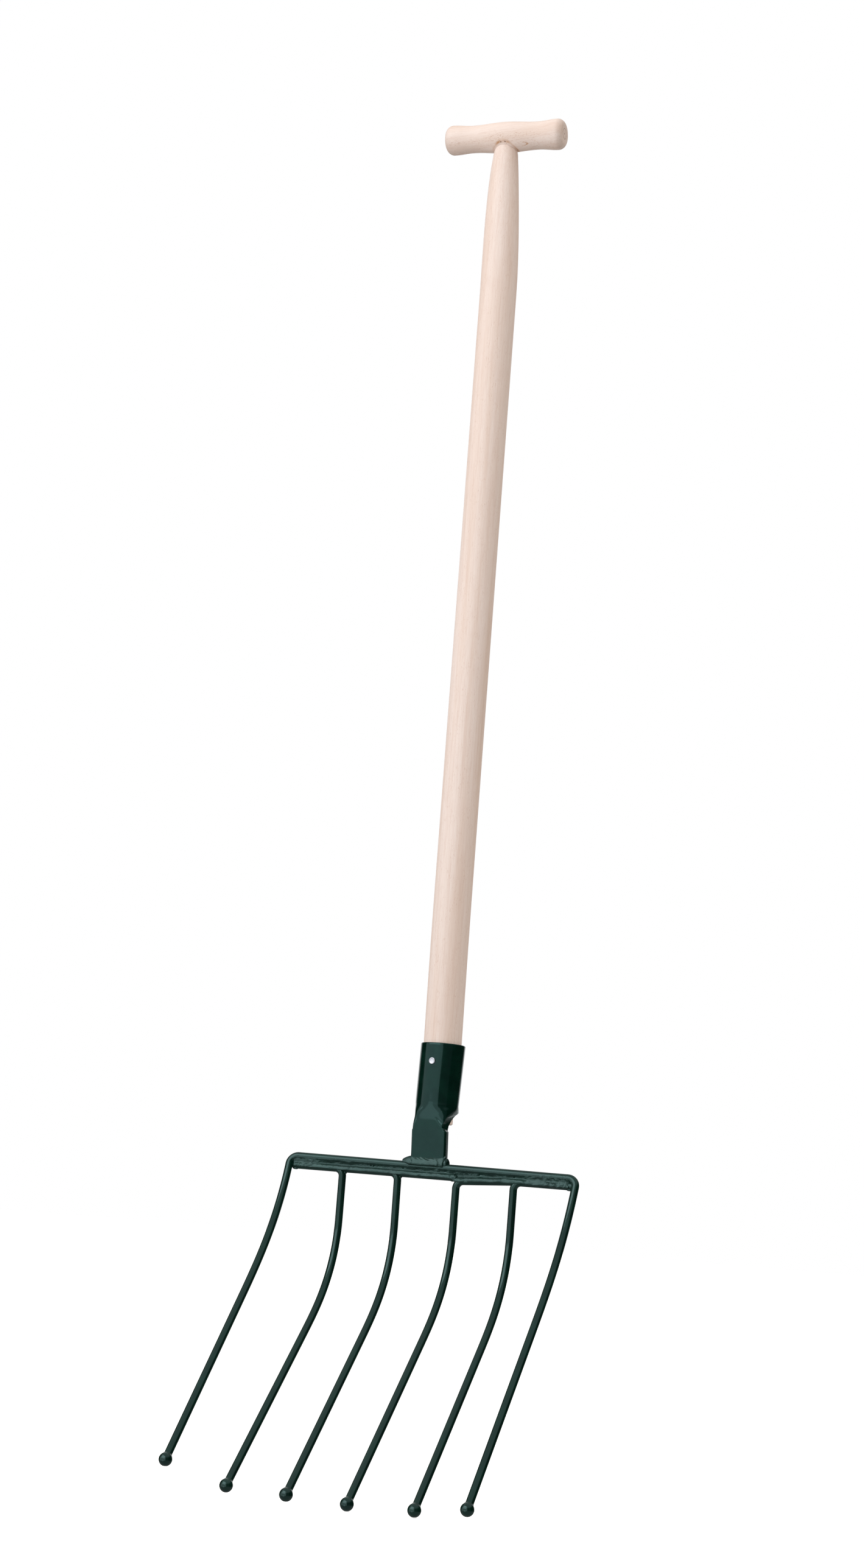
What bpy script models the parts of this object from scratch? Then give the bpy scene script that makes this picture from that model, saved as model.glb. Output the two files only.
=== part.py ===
"""Six-tined fork with ball tips, a pressed steel socket and a turned beech T-handle.

Metres, +Z up. The fork is built around its shaft, whose axis is the Z axis, with the upper rod of the cross
bar at height 0 and the tines sweeping towards -Y. At the end it is all moved together, so that the origin is
the middle of the bottom of the fork's box, where the lowest ball tip touches the ground.
"""
import math

import bmesh
import bpy
import numpy as np
from mathutils import Vector

# Fit
GAP = 0.0003                    # between two pieces that touch on the real fork

# Rods of the head
ROD_DIAMETER = 0.0075
BAR_FORWARD = 0.0160            # cross bar, in front of the shaft's axis
BAR_RISE = 0.0012               # the frame rod's left corner, pulled up by the weld
TINE_PITCH = 0.0588
HEAD_SHIFT = 0.0039             # middle of the head, right of the shaft's axis
TINE_DRIFTS = (-0.0001, -0.0030, -0.0041, -0.0025, -0.0032, 0.0002)
CORNER_RADIUS = 0.0085          # the frame rod's two corners, on the rod's axis
ELBOW_RADIUS = 0.0075           # the inner tines' elbows, on the rod's axis
LEG_DROP = 0.0030               # tine 4's leg hangs this far down at its elbow

# Outer tines, part of the frame rod
OUTER_LENGTHS = (0.3632, 0.3623)
OUTER_FIRST_TURN = 21.7         # degrees forward, straight from the corner
OUTER_FULL_TURNS = (46.9, 43.5)
OUTER_TURN_END = 0.168          # along the tine, where its sweep is complete
OUTER_INWARD_LEANS = (1.05, 1.31)

# Inner tines, 2 to 5
INNER_LENGTHS = (0.3713, 0.3771, 0.3780, 0.3684)
INNER_FULL_TURNS = (50.2, 51.1, 50.8, 49.1)
INNER_TURN_START = 0.041
INNER_TURN_END = 0.175
INNER_SIDE_LEANS = (-0.17, 0.32, -0.12, -0.16)

# Ball tips
BALL_DIAMETER = 0.0125
BALL_FLAT_DIAMETER = 0.0030     # the very tip is flat
BALL_SEAT = 0.0020              # the tine stops this far short of the ball's centre
COLLAR_DIAMETER = 0.0102
COLLAR_HEIGHT = 0.0056          # over the ball's centre

# Pressed socket with its tongue
PLATE = 0.0020
RIM_DIAMETER = 0.0438
RIM_HEIGHT = 0.1200
NECK_DIAMETER = 0.0424          # where the tube ends and the plate steps back to the tongue
NECK_HEIGHT = 0.0610
STEP_DROP = 0.0120              # this far under the neck the front is flat
CUT_DROP = 0.0045               # under the neck: the tube's back ends, cut on a slant towards the tongue
WING_DROP = 0.0120              # under the cut: the slant has reached the tongue's flanges
PINCH_DROP = 0.0080             # under that: the tongue takes its full width
TONGUE_PINCH = 0.0018
SEAM_WIDTH = 0.0030             # open seam at the back of the tube
TONGUE_WIDTH = 0.0358
TONGUE_FORWARD = 0.0185         # front face, in front of the shaft's axis
TONGUE_DEPTH = 0.0100           # over the flanges
TONGUE_SQUARENESS = 18.0        # superellipse exponent: 2 is round, the higher the squarer
TONGUE_SHIFT = -0.0010          # middle of the tongue, beside the shaft's axis
TUBE_LEAN = 0.0325              # sideways per length, over the bend height
BEND_HEIGHT = 0.0400

# Socket nail
NAIL_HEIGHT = 0.1026
NAIL_TURN = -5.6                # degrees round the tube from its front
NAIL_HEAD_DIAMETER = 0.0066
NAIL_HEAD_HEIGHT = 0.0014
NAIL_DIAMETER = 0.0034
NAIL_LENGTH = 0.0260
NAIL_POINT = 0.0050

# Shaft
SHAFT_DIAMETER = 0.0373
SHAFT_END_DIAMETER = 0.0308
SHAFT_END_DROP = 0.0192         # under the socket's neck
SHAFT_END_CHAMFER = 0.0012
SHOULDER_DROP = 0.0225          # the throat, under the grip's axis: above it the top rounds in to the tenon
SHOULDER_LENGTH = 0.1400        # over which the shaft draws in under the grip
SHOULDER_POWER = 0.8
THROAT_DIAMETER = 0.0256
THROAT_ROUNDING = 20.0          # the throat's radius falls by this times the square of the height over it
TENON_DIAMETER = 0.0180
TENON_REACH = 0.0075            # past the grip's axis
TOP_BOW = -0.00285              # the shaft's axis bows sideways by this much at its top
TOP_BOW_DROP = 0.0275           # under the grip's axis: the bow is complete
TOP_BOW_LENGTH = 0.1450
FOOT_BOW = 0.0009               # and by this much at its foot
FOOT_BOW_RISE = 0.1400          # over the socket's rim: the bow begins

# T-grip
GRIP_HEIGHT = 1.0525
GRIP_SHIFT = -0.0039            # middle of the grip, beside the shaft's axis
GRIP_LENGTH = 0.1258
GRIP_MIDDLE_DIAMETER = 0.0316
GRIP_WAIST_DIAMETERS = (0.0277, 0.0282)
GRIP_WAIST_PLACE = 0.0350
GRIP_SWELL_DIAMETERS = (0.0304, 0.0314)
GRIP_DISC_DIAMETER = 0.0224     # flat end face
GRIP_END_RADIUS = 0.0074        # the rounding from swell to end face

# Brads through grip and tenon
BRAD_DIAMETER = 0.0012
BRAD_LENGTH = 0.0200
BRAD_SPACING = 0.0044
BRAD_SHIFT = -0.0027
BRAD_DROP = 0.0094              # under the grip's axis
BRAD_SINK = 0.0006              # its head lies this far under the wood's surface

# Weld beads
SEAM_BEAD_HEIGHT = 0.0100
SEAM_BEAD_DEPTH = 0.0040
SEAM_BEAD_FORWARD = 0.0014      # the bead's own axis, in front of the rods' axes
SEAM_BEAD_INSET = 0.0030        # its ends, inside the outer tines' axes
TONGUE_BEAD_HEIGHT = 0.0086
TONGUE_BEAD_DEPTH = 0.0034
TONGUE_BEAD_OVERHANG = 0.0030
REAR_BEAD_HEIGHT = 0.0050
REAR_BEAD_DEPTH = 0.0026
LUMP_DIAMETER = 0.0092
LUMP_DROP = 0.0008              # middles of the lumps, under the bead's
LUMP_OUTSETS = (0.0004, 0.0014) # and outside the tongue's sides, on the left and on the right
RIPPLE_PITCH = 0.0085
RIPPLE = 0.10                   # share of the bead's thickness

# Fineness of the facets
ROUND_STEPS = 32
BALL_STEPS = 20
NAIL_STEPS = 16
ROD_BEVEL_RESOLUTION = 4
SOCKET_COLUMNS = 37
BEAD_STEP = 0.0036
BEAD_SIDES = 8

ROD_RADIUS = ROD_DIAMETER / 2
STEP_HEIGHT = NECK_HEIGHT - STEP_DROP
CUT_HEIGHT = NECK_HEIGHT - CUT_DROP
WING_HEIGHT = CUT_HEIGHT - WING_DROP
PINCH_HEIGHT = WING_HEIGHT - PINCH_DROP
SHAFT_END_HEIGHT = NECK_HEIGHT - SHAFT_END_DROP
SHOULDER_TOP = GRIP_HEIGHT - SHOULDER_DROP
TOP_BOW_END = GRIP_HEIGHT - TOP_BOW_DROP
TOP_BOW_START = TOP_BOW_END - TOP_BOW_LENGTH
FOOT_BOW_START = RIM_HEIGHT + FOOT_BOW_RISE
LEG_HEIGHT = -(ROD_DIAMETER + GAP)
TINE_COUNT = 6
LAST_LEFT_ELBOW = 3             # tines 2 and 3 have their legs on the left, 4 and 5 on the right
DROPPED_TINE = 4
FORWARD = Vector((0.0, -1.0, 0.0))
UP = Vector((0.0, 0.0, 1.0))

parts = None
cutters = None
stand = None


def clear_scene():
    for item in list(bpy.data.objects):
        bpy.data.objects.remove(item, do_unlink=True)


def make_collection(name):
    collection = bpy.data.collections.new(name)
    bpy.context.scene.collection.children.link(collection)
    return collection


def make_material(name, colour, roughness, metallic):
    material = bpy.data.materials.new(name)
    material.use_nodes = True
    shader = material.node_tree.nodes["Principled BSDF"]
    shader.inputs["Base Color"].default_value = (*colour, 1.0)
    shader.inputs["Roughness"].default_value = roughness
    shader.inputs["Metallic"].default_value = metallic
    return material


def add_object(name, data, material=None, collection=None):
    """Links a new object to the parts, or to the given collection, and stands it on the common empty."""
    item = bpy.data.objects.new(name, data)
    (collection or parts).objects.link(item)
    item.parent = stand
    if material is not None:
        data.materials.append(material)
    return item


def mark_cutter(item):
    item.hide_render = True
    item.display_type = "WIRE"
    return item


def smooth_by_angle(mesh, degrees=30.0):
    mesh.shade_smooth()
    mesh.set_sharp_from_angle(angle=math.radians(degrees))


def aim(item, place, direction):
    """Puts the object at a place with its local +Z along a direction."""
    item.rotation_mode = "QUATERNION"
    item.rotation_quaternion = UP.rotation_difference(Vector(direction).normalized())
    item.location = Vector(place)


def turned(name, profile, steps, material=None, collection=None):
    """A body of revolution about local Z. Its profile of (radius, height) runs down the outer side."""
    mesh = bpy.data.meshes.new(name)
    edges = [(index, index + 1) for index in range(len(profile) - 1)]
    mesh.from_pydata([(radius, 0.0, height) for radius, height in profile], edges, [])
    item = add_object(name, mesh, material, collection)
    screw = item.modifiers.new("turn", "SCREW")
    screw.steps = steps
    screw.render_steps = steps
    screw.use_merge_vertices = True
    screw.merge_threshold = 0.00001
    screw.use_smooth_shade = True
    return item


def drill(name, start, direction, length, diameter):
    """A round cutter that begins at start and runs along direction."""
    mesh = bpy.data.meshes.new(name)
    work = bmesh.new()
    bmesh.ops.create_cone(work, cap_ends=True, segments=NAIL_STEPS, radius1=diameter / 2,
                          radius2=diameter / 2, depth=length)
    work.to_mesh(mesh)
    work.free()
    item = mark_cutter(add_object(name, mesh, collection=cutters))
    aim(item, Vector(start) + Vector(direction).normalized() * (length / 2), direction)
    return item


def combine(item, other, operation):
    modifier = item.modifiers.new(operation.lower() + "_" + other.name, "BOOLEAN")
    modifier.operation = operation
    modifier.object = other


def rod(name, points, radius, material=None, collection=None):
    """A round rod along points, with flat ends."""
    curve = bpy.data.curves.new(name, "CURVE")
    curve.dimensions = "3D"
    curve.bevel_depth = radius
    curve.bevel_resolution = ROD_BEVEL_RESOLUTION
    curve.use_fill_caps = True
    spline = curve.splines.new("POLY")
    spline.points.add(len(points) - 1)
    for knot, point in zip(spline.points, points):
        knot.co = (*point, 1.0)
    return add_object(name, curve, material, collection)


def rod_clearance(name, points):
    """A cutter that is larger all round than the rod along the same points by the gap."""
    first = points[0] - points[1]
    last = points[-1] - points[-2]
    longer = np.vstack([points[0] + first / np.linalg.norm(first) * GAP, points[1:-1],
                        points[-1] + last / np.linalg.norm(last) * GAP])
    swept = rod(name + "_swept", longer, ROD_RADIUS + GAP, collection=cutters)
    bpy.context.view_layer.update()
    graph = bpy.context.evaluated_depsgraph_get()
    mesh = bpy.data.meshes.new_from_object(swept.evaluated_get(graph))
    bpy.data.objects.remove(swept, do_unlink=True)
    work = bmesh.new()
    work.from_mesh(mesh)
    bmesh.ops.remove_doubles(work, verts=work.verts, dist=0.00001)
    work.to_mesh(mesh)
    work.free()
    return mark_cutter(add_object(name, mesh, collection=cutters))


def arc(centre, first, second, radius, angle, count):
    """Points on an arc about centre that starts at first and turns towards second, two unit vectors."""
    turns = np.linspace(0.0, angle, count)[:, None]
    return centre + radius * (np.cos(turns) * first + np.sin(turns) * second)


def tine_place(index):
    """Sideways place of a tine at the cross bar, counted from 1 on the left."""
    middle = (TINE_COUNT + 1) / 2
    return HEAD_SHIFT + (index - middle) * TINE_PITCH + TINE_DRIFTS[index - 1]


def bar_height(across):
    """Height of the frame rod's axis at a sideways place along the cross bar."""
    right = tine_place(TINE_COUNT)
    return BAR_RISE * (right - across) / (right - tine_place(1))


def sweep(start, length, first_turn, full_turn, turn_start, turn_end, side_lean):
    """A tine's axis below start. Its forward turn grows along it as a quarter sine, then stays.

    Returns the points and the heading at the tip.
    """
    fine = np.linspace(0.0, length, 800)
    share = np.clip((fine - turn_start) / (turn_end - turn_start), 0.0, 1.0)
    turn = np.radians(first_turn + (full_turn - first_turn) * np.sin(share * math.pi / 2))
    side = np.full_like(fine, math.tan(math.radians(side_lean)))
    heading = np.stack([side, -np.sin(turn), -np.cos(turn)], axis=1)
    strides = (heading[1:] + heading[:-1]) / 2 * (fine[1] - fine[0])
    path = start + np.vstack([np.zeros(3), np.cumsum(strides, axis=0)])
    stations = np.append(np.linspace(turn_start, turn_end, 12), length)
    stations = stations[stations > 0.0]
    points = np.stack([np.interp(stations, fine, path[:, axis]) for axis in range(3)], axis=1)
    return points, heading[-1] / np.linalg.norm(heading[-1])


def outer_tine(index):
    """Corner and sweep of tine 1 or 6 from the cross bar to its ball's centre, with its heading there."""
    side = -1.0 if index == 1 else 1.0
    slot = 0 if index == 1 else 1
    lean = math.radians(OUTER_FIRST_TURN)
    down = np.array([0.0, -math.sin(lean), -math.cos(lean)])
    outward = np.array([side, 0.0, 0.0])
    top = np.array([tine_place(index) - side * CORNER_RADIUS, -BAR_FORWARD, bar_height(tine_place(index))])
    corner = arc(top + down * CORNER_RADIUS, -down, outward, CORNER_RADIUS, math.pi / 2, 7)
    points, heading = sweep(corner[-1], OUTER_LENGTHS[slot], OUTER_FIRST_TURN, OUTER_FULL_TURNS[slot],
                            0.0, OUTER_TURN_END, -side * OUTER_INWARD_LEANS[slot])
    return np.vstack([corner, points]), heading


def elbow_side(index):
    return -1.0 if index <= LAST_LEFT_ELBOW else 1.0


def elbow_drop(index):
    return LEG_DROP if index == DROPPED_TINE else 0.0


def beside_elbow(index):
    """How far past an elbow's tine axis the next rod of the lower row must stop, on the elbow's round side."""
    outside = ELBOW_RADIUS + ROD_RADIUS
    depth = ELBOW_RADIUS - ROD_RADIUS + elbow_drop(index)
    return math.sqrt(outside ** 2 - depth ** 2) - ELBOW_RADIUS + GAP


def leg_end(index):
    """Where the leg of an inner tine stops, short of the next tine's elbow or the frame rod's corner."""
    side = elbow_side(index)
    neighbour = index + int(side)
    if neighbour in (1, TINE_COUNT):
        return tine_place(neighbour) - side * CORNER_RADIUS
    return tine_place(neighbour) - side * beside_elbow(neighbour)


def inner_tine(index):
    """Leg, elbow and sweep of tines 2 to 5 to the ball's centre, with the heading there."""
    side = elbow_side(index)
    drop = elbow_drop(index)
    slot = index - 2
    centre = np.array([tine_place(index) + side * ELBOW_RADIUS, -BAR_FORWARD,
                       LEG_HEIGHT - drop - ELBOW_RADIUS])
    elbow = arc(centre, np.array([0.0, 0.0, 1.0]), np.array([-side, 0.0, 0.0]), ELBOW_RADIUS, math.pi / 2, 7)
    end = np.array([leg_end(index), -BAR_FORWARD, LEG_HEIGHT])
    points, heading = sweep(elbow[-1], INNER_LENGTHS[slot] - drop, 0.0, INNER_FULL_TURNS[slot],
                            INNER_TURN_START - drop, INNER_TURN_END - drop, INNER_SIDE_LEANS[slot])
    return np.vstack([end, elbow, points]), heading


def short_of_ball(points, heading):
    """The same path, stopped where the rod seats in its ball."""
    shorter = points.copy()
    shorter[-1] -= heading * BALL_SEAT
    return shorter


def make_ball(index, centre, heading, steel):
    """A ball with a blind seat for its tine and a thin raised collar around the seat."""
    radius = BALL_DIAMETER / 2
    seat = ROD_RADIUS + GAP
    collar = COLLAR_DIAMETER / 2
    first = math.asin(collar / radius)
    last = math.pi - math.asin(BALL_FLAT_DIAMETER / 2 / radius)
    round_side = [(radius * math.sin(angle), radius * math.cos(angle)) for angle in np.linspace(first, last, 11)]
    flat = round_side[-1][1]
    profile = [(0.0, BALL_SEAT - GAP), (seat, BALL_SEAT - GAP), (seat, COLLAR_HEIGHT), (collar, COLLAR_HEIGHT)]
    ball = turned(f"ball_{index}", profile + round_side + [(0.0, flat)], BALL_STEPS, steel)
    aim(ball, centre, -Vector(heading))


def make_head(enamel):
    """Frame rod, inner tines, filler and balls. Returns a clearance cutter for each rod at the cross bar."""
    outer = {index: outer_tine(index) for index in (1, TINE_COUNT)}
    inner = {index: inner_tine(index) for index in range(2, TINE_COUNT)}
    frame_path = np.vstack([short_of_ball(*outer[1])[::-1], short_of_ball(*outer[TINE_COUNT])])
    paths = {"frame_rod": frame_path}
    for index, (points, heading) in inner.items():
        paths[f"tine_{index}"] = short_of_ball(points, heading)
    left_end = tine_place(LAST_LEFT_ELBOW) + beside_elbow(LAST_LEFT_ELBOW)
    right_end = tine_place(LAST_LEFT_ELBOW + 1) - beside_elbow(LAST_LEFT_ELBOW + 1)
    paths["filler_rod"] = np.array([[left_end, -BAR_FORWARD, LEG_HEIGHT],
                                    [(left_end + right_end) / 2, -BAR_FORWARD, LEG_HEIGHT],
                                    [right_end, -BAR_FORWARD, LEG_HEIGHT]])
    for name, points in paths.items():
        rod(name, points, ROD_RADIUS, enamel)
    for index, (points, heading) in {**outer, **inner}.items():
        make_ball(index, points[-1], heading, enamel)
    return {name: rod_clearance("clear_" + name, points) for name, points in paths.items()}


def ease(value, start, end):
    """Smoothstep: 0 at start, 1 at end, level at both."""
    share = np.clip((value - start) / (end - start), 0.0, 1.0)
    return share * share * (3.0 - 2.0 * share)


def tube_radius(height):
    share = (height - NECK_HEIGHT) / (RIM_HEIGHT - NECK_HEIGHT)
    return (NECK_DIAMETER + (RIM_DIAMETER - NECK_DIAMETER) * share) / 2


def plate_middle(height):
    """Sideways place of the plate's middle: straight up the tongue, then leaning up the tube."""
    return TONGUE_SHIFT + TUBE_LEAN * max(0.0, height - BEND_HEIGHT)


def shaft_middle(height):
    """Sideways place of the shaft's axis, which bows a little at both ends."""
    top = TOP_BOW * ease(height, TOP_BOW_START, TOP_BOW_END)
    return top + FOOT_BOW * ease(height, FOOT_BOW_START, NECK_HEIGHT)


def plate_section(height, columns):
    """Outer side of the socket's plate at one height, from wing to wing round the front.

    The outline is a superellipse, |x/a|^n + |y/b|^n = 1: n is 2 for the tube and grows to the tongue's
    squareness, b steps back from the tube's radius to the tongue's front face and a draws in to its half
    width. The plate covers this outline up to an angle on either side, which shrinks from the open seam at
    the back to the tongue's flanges, quickly at first.
    """
    radius = tube_radius(max(height, NECK_HEIGHT))
    front = radius + (TONGUE_FORWARD - radius) * ease(height, NECK_HEIGHT, STEP_HEIGHT)
    narrow = (TONGUE_WIDTH - TONGUE_PINCH * ease(height, PINCH_HEIGHT - TONGUE_PINCH, PINCH_HEIGHT)) / 2
    half_width = radius + (narrow - radius) * ease(height, CUT_HEIGHT, WING_HEIGHT - TONGUE_PINCH)
    squared = np.clip((CUT_HEIGHT - height) / (CUT_HEIGHT - PINCH_HEIGHT), 0.0, 1.0) ** 1.5
    power = 2.0 + (TONGUE_SQUARENESS - 2.0) * squared
    open_end = math.pi - SEAM_WIDTH / NECK_DIAMETER
    flange_end = math.atan2(TONGUE_WIDTH / 2, TONGUE_FORWARD - TONGUE_DEPTH)
    cut = np.clip((CUT_HEIGHT - height) / (CUT_HEIGHT - WING_HEIGHT), 0.0, 1.0) ** 0.6
    reach = open_end + (flange_end - open_end) * ease(cut, 0.0, 1.0)
    angles = reach * np.linspace(-1.0, 1.0, columns)
    across = np.abs(np.sin(angles)) / half_width
    along = np.abs(np.cos(angles)) / front
    polar = (across ** power + along ** power) ** (-1.0 / power)
    return np.stack([plate_middle(height) + polar * np.sin(angles), -polar * np.cos(angles),
                     np.full(columns, height)], axis=1)


def tongue_foot():
    """Height at which the tongue ends, clear of the frame rod where that is highest under it."""
    return bar_height(TONGUE_SHIFT - TONGUE_WIDTH / 2) + ROD_RADIUS + GAP


def make_socket(enamel):
    """The pressed plate: an open surface with its thickness inwards."""
    foot = tongue_foot()
    heights = [RIM_HEIGHT, (RIM_HEIGHT + NECK_HEIGHT) / 2, NECK_HEIGHT, (NECK_HEIGHT + CUT_HEIGHT) / 2]
    heights += list(np.linspace(CUT_HEIGHT, WING_HEIGHT, 10))
    heights += [(WING_HEIGHT + PINCH_HEIGHT) / 2, PINCH_HEIGHT, PINCH_HEIGHT - TONGUE_PINCH,
                (PINCH_HEIGHT + foot) / 2, foot]
    rows = [plate_section(height, SOCKET_COLUMNS) for height in heights]
    points = np.vstack(rows)
    faces = []
    for row in range(len(heights) - 1):
        for column in range(SOCKET_COLUMNS - 1):
            corner = row * SOCKET_COLUMNS + column
            faces.append((corner, corner + SOCKET_COLUMNS, corner + SOCKET_COLUMNS + 1, corner + 1))
    mesh = bpy.data.meshes.new("socket")
    mesh.from_pydata([tuple(point) for point in points], [], faces)
    smooth_by_angle(mesh)
    socket = add_object("socket", mesh, enamel)
    wall = socket.modifiers.new("plate", "SOLIDIFY")
    wall.thickness = PLATE
    wall.offset = -1.0
    wall.use_even_offset = True
    return socket


def nail_frame():
    """Middle of the nail head's seat on the tube, and the direction in which the nail is driven."""
    turn = math.radians(NAIL_TURN)
    outward = Vector((math.sin(turn), -math.cos(turn), 0.0))
    middle = Vector((plate_middle(NAIL_HEIGHT), 0.0, NAIL_HEIGHT))
    return middle + outward * (tube_radius(NAIL_HEIGHT) + GAP), outward


def make_nail(zinc):
    seat, outward = nail_frame()
    head = NAIL_HEAD_DIAMETER / 2
    shank = NAIL_DIAMETER / 2
    dome = [(head * math.sin(angle), NAIL_HEAD_HEIGHT * (0.35 + 0.65 * math.cos(angle)))
            for angle in np.linspace(0.0, math.pi / 2, 6)]
    profile = dome + [(head, 0.0), (shank, 0.0), (shank, NAIL_POINT - NAIL_LENGTH), (0.0, -NAIL_LENGTH)]
    nail = turned("socket_nail", profile, NAIL_STEPS, zinc)
    aim(nail, seat, outward)


def half_grip(waist_diameter, swell_diameter, extra):
    """The grip's outline from one end face to its middle, enlarged all over by extra.

    The arc of the end rounding meets the flat end face at an angle and the swell levelly; from there the
    radius is cosine-eased to the waist and to the middle.
    """
    swell = swell_diameter / 2
    start = math.asin((GRIP_DISC_DIAMETER / 2 - swell + GRIP_END_RADIUS) / GRIP_END_RADIUS)
    swell_place = GRIP_LENGTH / 2 - GRIP_END_RADIUS * math.cos(start)
    outline = [(swell + GRIP_END_RADIUS * (math.sin(angle) - 1.0) + extra,
                swell_place + GRIP_END_RADIUS * math.cos(angle)) for angle in np.linspace(start, math.pi / 2, 6)]
    stations = (swell_place, GRIP_WAIST_PLACE, 0.0)
    radii = (swell, waist_diameter / 2, GRIP_MIDDLE_DIAMETER / 2)
    for leg in range(2):
        for share in np.linspace(0.0, 1.0, 5 + 4 * leg)[1:]:
            eased = (1.0 - math.cos(math.pi * share)) / 2
            outline.append((radii[leg] + (radii[leg + 1] - radii[leg]) * eased + extra,
                            stations[leg] + (stations[leg + 1] - stations[leg]) * share))
    return outline


def grip_profile(extra=0.0):
    """The grip's outline from the right end face to the left one."""
    left, right = (half_grip(waist, swell, extra)
                   for waist, swell in zip(GRIP_WAIST_DIAMETERS, GRIP_SWELL_DIAMETERS))
    end = GRIP_LENGTH / 2
    return [(0.0, end)] + right + [(radius, -place) for radius, place in reversed(left[:-1])] + [(0.0, -end)]


def brad_frames():
    """Head of each brad and its name."""
    depth = math.sqrt((GRIP_MIDDLE_DIAMETER / 2) ** 2 - BRAD_DROP ** 2)
    for name, side in (("grip_brad_left", -0.5), ("grip_brad_right", 0.5)):
        yield name, Vector((BRAD_SHIFT + side * BRAD_SPACING, BRAD_SINK - depth, GRIP_HEIGHT - BRAD_DROP))


def shaft_profile():
    """Radius and height from the throat down to the end, which is thinned to go into the socket."""
    slack = NECK_DIAMETER / 2 - PLATE - GAP
    socketed = slack - abs(shaft_middle(NECK_HEIGHT) - plate_middle(NECK_HEIGHT))
    end = SHAFT_END_DIAMETER / 2
    full = SHAFT_DIAMETER / 2
    throat = THROAT_DIAMETER / 2
    drop = throat - TENON_DIAMETER / 2 - GAP
    profile = [(throat - drop * share ** 2, SHOULDER_TOP + math.sqrt(drop / THROAT_ROUNDING) * share)
               for share in np.linspace(1.0, 0.0, 6)[:-1]]
    for share in np.linspace(0.0, 1.0, 12):
        radius = throat + (full - throat) * math.sin(math.pi / 2 * share ** SHOULDER_POWER)
        profile.append((radius, SHOULDER_TOP - SHOULDER_LENGTH * share))
    profile += [(full, height) for height in np.linspace(FOOT_BOW_START, RIM_HEIGHT, 4)]
    profile += [(socketed, NECK_HEIGHT + SHAFT_END_CHAMFER), (end, STEP_HEIGHT),
                (end, SHAFT_END_HEIGHT + SHAFT_END_CHAMFER), (end - SHAFT_END_CHAMFER, SHAFT_END_HEIGHT)]
    return profile


def make_shaft(beech):
    """Rings of points round the shaft's bowed axis, closed by a flat face at both ends."""
    turns = 2 * math.pi * (np.arange(ROUND_STEPS) + 0.5) / ROUND_STEPS
    rings = [np.stack([shaft_middle(height) + radius * np.cos(turns), radius * np.sin(turns),
                       np.full(ROUND_STEPS, height)], axis=1) for radius, height in shaft_profile()]
    faces = [tuple(range(ROUND_STEPS))]
    for ring in range(len(rings) - 1):
        for side in range(ROUND_STEPS):
            here = ring * ROUND_STEPS + side
            after = ring * ROUND_STEPS + (side + 1) % ROUND_STEPS
            faces.append((here, here + ROUND_STEPS, after + ROUND_STEPS, after))
    last = (len(rings) - 1) * ROUND_STEPS
    faces.append(tuple(range(last + ROUND_STEPS - 1, last - 1, -1)))
    mesh = bpy.data.meshes.new("shaft")
    mesh.from_pydata([tuple(point) for point in np.vstack(rings)], [], faces)
    smooth_by_angle(mesh)
    return add_object("shaft", mesh, beech)


def make_handle(beech, pin_steel):
    """Shaft, grip and the two brads that hold them together."""
    middle = (GRIP_SHIFT, 0.0, GRIP_HEIGHT)
    tenon_place = shaft_middle(GRIP_HEIGHT)
    grip = turned("grip", grip_profile(), ROUND_STEPS, beech)
    aim(grip, middle, (1.0, 0.0, 0.0))
    mortise_top = GRIP_HEIGHT + TENON_REACH + GAP
    mortise_bottom = GRIP_HEIGHT - GRIP_MIDDLE_DIAMETER
    mortise = drill("mortise", (tenon_place, 0.0, mortise_bottom), UP, mortise_top - mortise_bottom,
                    TENON_DIAMETER + 2 * GAP)
    combine(grip, mortise, "DIFFERENCE")

    shaft = make_shaft(beech)
    saddle = mark_cutter(turned("saddle", grip_profile(GAP), ROUND_STEPS, collection=cutters))
    aim(saddle, middle, (1.0, 0.0, 0.0))
    combine(shaft, saddle, "DIFFERENCE")
    tenon_bottom = SHOULDER_TOP - TENON_DIAMETER
    tenon = drill("tenon", (tenon_place, 0.0, tenon_bottom), UP, GRIP_HEIGHT + TENON_REACH - tenon_bottom,
                  TENON_DIAMETER)
    combine(shaft, tenon, "UNION")

    for name, head in brad_frames():
        radius = BRAD_DIAMETER / 2
        brad = turned(name, [(0.0, 0.0), (radius, 0.0), (radius, BRAD_DIAMETER - BRAD_LENGTH),
                             (0.0, -BRAD_LENGTH)], NAIL_STEPS, pin_steel)
        aim(brad, head, FORWARD)
        hole = drill(name + "_hole", head + FORWARD * (2 * BRAD_SINK), -FORWARD,
                     BRAD_LENGTH + 2 * BRAD_SINK + GAP, BRAD_DIAMETER + 2 * GAP)
        combine(grip, hole, "DIFFERENCE")
        combine(shaft, hole, "DIFFERENCE")
    return shaft


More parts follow.
